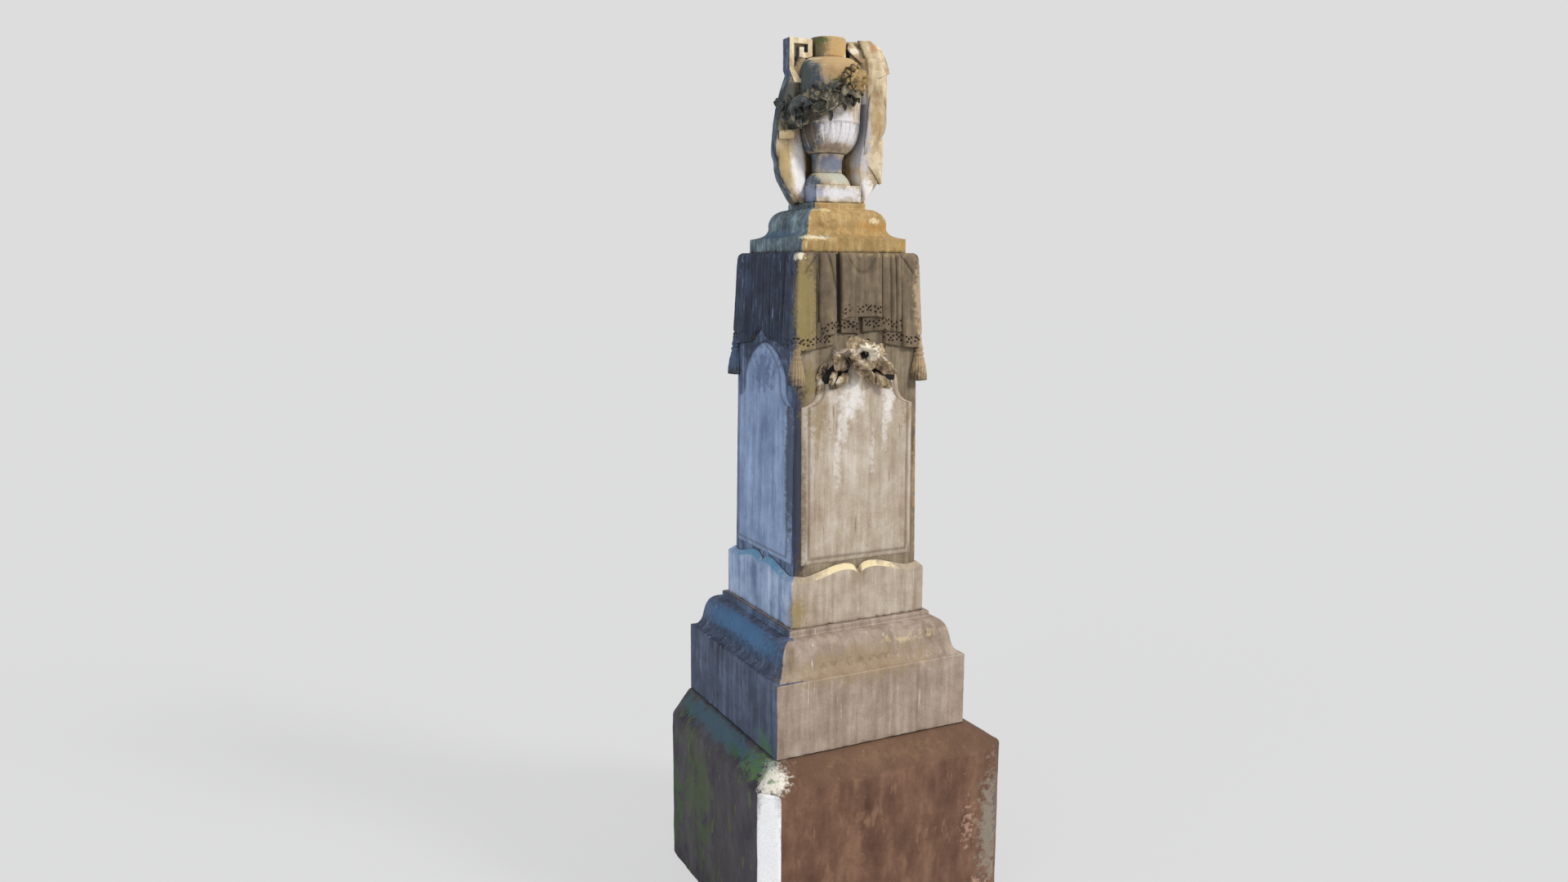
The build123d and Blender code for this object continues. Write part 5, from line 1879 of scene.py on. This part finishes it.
    # turned marble, washed white on the bowl and lichened on the shoulder and ledges
    URN = WeatheredStone(
        "turned_urn_marble",
        Palette("#8b7d68", "#b8a78d", "#d9ccb6", "#cfc3af", "#b78f4c", "#33291f"),
        Palette("#363f4a", "#586370", "#8791a0", "#9aa4b2", "#4a5a44", "#191d27"),
        (
            Wash("#bb9a68", (-22, -70, 2796), (116, 120, 84), 0.85, 0.3, 40),
            Wash("#c9a469", (-20, -40, 2862), (66, 60, 44), 0.85, 0.25, 30),
            Wash("#f2e3bd", (26, -50, 2830), (50, 60, 14), 0.8, 0.5, 16),
            # painted highlight on the shoulder's right, by the flower bunch
            Wash("#f4efe8", (48, -80, 2800), (20, 40, 26), 0.85, 0.5, 16),
            Wash("#77683f", (-84, -20, 2860), (34, 70, 46), 0.8, 0.3, 20),
            Wash("#55612c", (-76, -20, 2884), (36, 46, 26), 0.85, 0.5, 14),
            # painted shade on the shoulder's left flank
            Wash("#4c5450", (-142, -20, 2750), (50, 90, 110), 0.85, 0.45, 12),
            Wash("#e3dfe2", (-29, -80, 2600), (100, 70, 76), 0.92, 0.35, 30),
            # painted shade on the bowl's left flank
            Wash("#6b5a4c", (-132, -40, 2590), (40, 70, 70), 0.75, 0.3, 16),
            # painted shade on the bowl's lower part
            Wash("#8d7564", (-50, -70, 2544), (90, 60, 24), 0.75, 0.4, 20),
            # painted shadow of the cloth on the bowl's right side
            Wash("#8b8b99", (66, -50, 2610), (40, 70, 110), 0.75, 0.3, 34),
            Wash("#b3b9ac", (-20, -30, 2450), (90, 90, 28), 0.8, 0.4, 12),
            # painted shade on the stem
            Wash("#62708c", (-40, -44, 2494), (100, 60, 34), 0.8, 0.25, 30),
            Wash("#e4e3e8", (-20, -75, 2398), (110, 40, 30), 0.85, 0.4, 20),
            # painted shade, pale blue, on the foot block's left face
            Wash("#8d99b4", (-106, 0, 2400), (40, 110, 36), 0.8, 0.35, 12),
        ),
        patch=60, streak=24, streak_stretch=0.3, drip_cut=0.66, growth_cut=0.66, growth_size=24, ledge="#d8c39c",
        shade_from=-76, shade_limit=-0.5, shade_front=0.0, contrast=0.9,
    )
    # squared marble bars that stand free and dry, so they are the palest stone
    HANDLE = WeatheredStone(
        "squared_handle_marble",
        Palette("#bfa479", "#decaa6", "#f7e8cd", "#d6be93", "#c5a362", "#3a2f24"),
        Palette("#333b4c", "#525e76", "#7a889f", "#738198", "#4a5a3c", "#191d27"),
        patch=40, streak=16, streak_stretch=0.3, growth_cut=0.66, growth_size=16,
        shade_limit=-0.45, shade_front=0.0, soot_and_shade=0.6,
    )
    # carved marble that catches the sun: warm crowns, white patches, painted sunlight on the left fall, painted shade
    # by the neck and the left fall, and little soot
    MANTLE = WeatheredStone(
        "carved_mantle_marble",
        Palette("#8e7858", "#bca684", "#e0cda8", "#c9b08a", "#c9964e", "#2a211a"),
        Palette("#2c363f", "#46535e", "#7a8896", "#657482", "#43523f", "#171b25"),
        (
            Wash("#ead9b8", (130, -60, 2850), (60, 60, 60), 0.6, 0.5, 24),
            Wash("#bf8c58", (105, -60, 2868), (26, 40, 34), 0.6, 0.5, 18),
            Wash("#bd9d6c", (112, -70, 2640), (50, 40, 110), 0.55, 0.4, 30),
            # painted shade, pale blue-grey, on the inner side of the right fall
            Wash("#c6c8d2", (74, -18, 2580), (34, 60, 250), 0.85, 0.3, 34),
            # painted sunlight on the inner face of the left fall
            Wash("#f6f4f4", (-126, 14, 2480), (54, 42, 112), 0.9, 0.3, 30),
            # painted sunlight on the front edge of the left fall
            Wash("#b9a06c", (-196, -4, 2490), (24, 16, 90), 0.8, 0.4, 20),
            Wash("#f2efec", (84, -50, 2410), (30, 40, 60), 0.85, 0.4, 24),
            Wash("#e6d6b6", (120, -70, 2500), (40, 40, 60), 0.7, 0.4, 24),
            # painted shade in the hollow by the neck
            Wash("#3a332a", (52, 12, 2868), (36, 24, 22), 0.9, 0.3, 14),
            Wash("#f4ead6", (46, -22, 2856), (34, 20, 12), 0.8, 0.3, 12),
            # painted shade on the left fall above its collar
            Wash("#3a4344", (-190, -5, 2684), (70, 80, 96), 0.9, 0.25, 34),
            Wash("#d2b98c", (-194, -20, 2580), (32, 20, 18), 0.8, 0.2, 14),
        ),
        patch=60, streak=22, streak_stretch=0.2, drip_cut=0.66, growth_cut=0.66, growth_size=26,
        shade_from=-120, shade_limit=-0.62, shade_front=0.0, soot_and_shade=0.25, soot_and_shade_from=0.42,
    )
    # deeply undercut leaves, almost black between the crowns
    GARLAND = WeatheredStone(
        "sooty_carved_leaves",
        Palette("#312e27", "#5c5647", "#a89a7c", "#82775c", "#666a42", "#12110e"),
        Palette("#2a2e30", "#444a4c", "#6d767c", "#5a686e", "#46543f", "#0e0e10"),
        (
            Wash("#9c8c6a", (30, -100, 2690), (60, 60, 50), 0.5, 0.8, 14),
            Wash("#b9ab97", (-60, -110, 2655), (50, 40, 34), 0.5, 0.85, 12),
            # painted shade on the garland's left end
            Wash("#211f1b", (-150, -60, 2650), (70, 80, 40), 0.7, 0.5, 24),
        ),
        patch=34, streak=20, streak_stretch=0.6, growth_cut=0.60, growth_size=14, grain=2.0,
        shade_limit=-0.5, shade_front=0.0, crown_highlight=2.0, soot_and_shade=0.55,
    )
    # the same undercut carving under ochre lichen
    FLOWERS = WeatheredStone(
        "lichened_carved_flowers",
        Palette("#6b5636", "#a08455", "#cdb07a", "#bb9a60", "#b48c4c", "#4d3c24"),
        Palette("#2c2b26", "#57503f", "#8a8062", "#6b6a50", "#4a5234", "#0f0f0d"),
        # painted shade on the bunch's left part
        (Wash("#2a2620", (-16, -112, 2738), (28, 50, 46), 0.85, 0.6, 14),),
        patch=26, streak=16, streak_stretch=0.6, growth_cut=0.62, growth_size=16, grain=2.0,
        shade_limit=-0.5, shade_front=0.0, soot_and_shade=0.6, soot_and_shade_from=0.4,
    )
    # undercut lily and leaves: a painted highlight on top, painted shadow black behind
    SPRAY = WeatheredStone(
        "undercut_carved_lily",
        Palette("#54452f", "#87745a", "#c6b394", "#ab987a", "#8a7448", "#0f0c09"),
        Palette("#2b2925", "#5c5346", "#9a8e7c", "#70685a", "#4a4a38", "#0a0908"),
        (
            # painted highlight, cream, on the lily
            Wash("#ece2cd", (-44, -285, 1900), (64, 50, 40), 0.7, 0.45, 14),
            # painted shadow, black, under the left leaves
            Wash("#14110e", (-160, -226, 1824), (40, 44, 60), 0.9, 0.6, 12),
            # painted shadow, black, left of and below the lily
            Wash("#14110e", (-80, -246, 1860), (30, 44, 30), 0.9, 0.5, 12),
            Wash("#6b4d35", (70, -230, 1834), (60, 50, 56), 0.6, 0.6, 10),
            Wash("#d8cdbb", (-130, -238, 1806), (16, 40, 16), 0.7, 0.4, 8),
            # painted shade, black, in the lily's throat
            Wash("#15110d", (-46, -268, 1890), (12, 30, 12), 0.95, 0.2, 10),
        ),
        patch=30, streak=16, streak_stretch=0.5, growth_cut=0.66, growth_size=14, grain=2.0, grain_height=0.6,
        shade_from=-240,
        crown_highlight=1.5, soot_and_shade=0.95, soot_and_shade_from=0.72,
    )

    def build(self) -> bpy.types.Material:
        """Make the material of this finish."""
        return self.value.build()


def main() -> None:
    """Build every piece in order."""
    logging.basicConfig(level=logging.INFO, format="%(message)s")
    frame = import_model()
    nodes = frame["nodes"]
    Studio().build()
    look = {finish: finish.build() for finish in Finish}
    bar = {"arris": 2.0, "pitch": 7, "wear": 0.6, "wear_size": 20, "chip": 2.0, "chip_size": 9}
    turned = {"arris": 2.0, "pitch": 8, "wear": 0.6, "wear_size": 24, "chip": 1.5, "chip_size": 10}
    stones = [
        DressedStone(
            "plinth_block", look[Finish.PLINTH], "plinth_stone", arris=7, pitch=13, wear=3.5, wear_size=90, chip=9,
            chip_size=34, notches=(((465, -417, 545), 40, 26),),
        ),
        DressedStone(
            "base_stone", look[Finish.BASE], "base_marble", arris=3.5, pitch=13, wear=1.0, chip=3.5, chip_size=18,
        ),
        DressedStone(
            "label_stone", look[Finish.LABEL], "base_marble", arris=2.5, pitch=10, wear_size=40, chip=2.5, chip_size=14,
        ),
        DressedStone("die_shaft", look[Finish.DIE], "die_marble", arris=2.5),
        DressedStone(
            "cap_stone", look[Finish.CAP], "base_marble", arris=3.5, pitch=9, wear=1.4, wear_size=34, chip=4.0,
            notches=(((-222, -174.5, 2254), 16, 8),),
        ),
        DressedStone(
            "urn_foot_block", look[Finish.URN], "die_marble", pitch=8, wear=0.8, wear_size=24, chip=2.5, chip_size=10,
        ),
        DressedStone("urn_foot", look[Finish.URN], "die_marble", **turned),
        DressedStone("urn_stem", look[Finish.URN], "die_marble", **turned),
        DressedStone(
            "urn_neck", look[Finish.URN], "die_marble", pitch=7, wear=1.0, wear_size=24, chip=2.5, chip_size=10,
        ),
        DressedStone("handle_left", look[Finish.HANDLE], "die_marble", **bar, web=((-140, 25, 2853), (74, 16, 50))),
        DressedStone("handle_right", look[Finish.HANDLE], "die_marble", **bar),
    ]
    for stone in stones:
        stone.build(nodes)
    ArchedTablet(look[Finish.TABLET]).build()
    Drapery(look[Finish.CLOTH]).build()
    FlowerSpray(look[Finish.SPRAY]).build()
    UrnBowl(look[Finish.URN]).build()
    UrnMantle(look[Finish.MANTLE]).build()
    Garland(look[Finish.GARLAND], look[Finish.FLOWERS]).build()


if __name__ == "__main__":
    main()
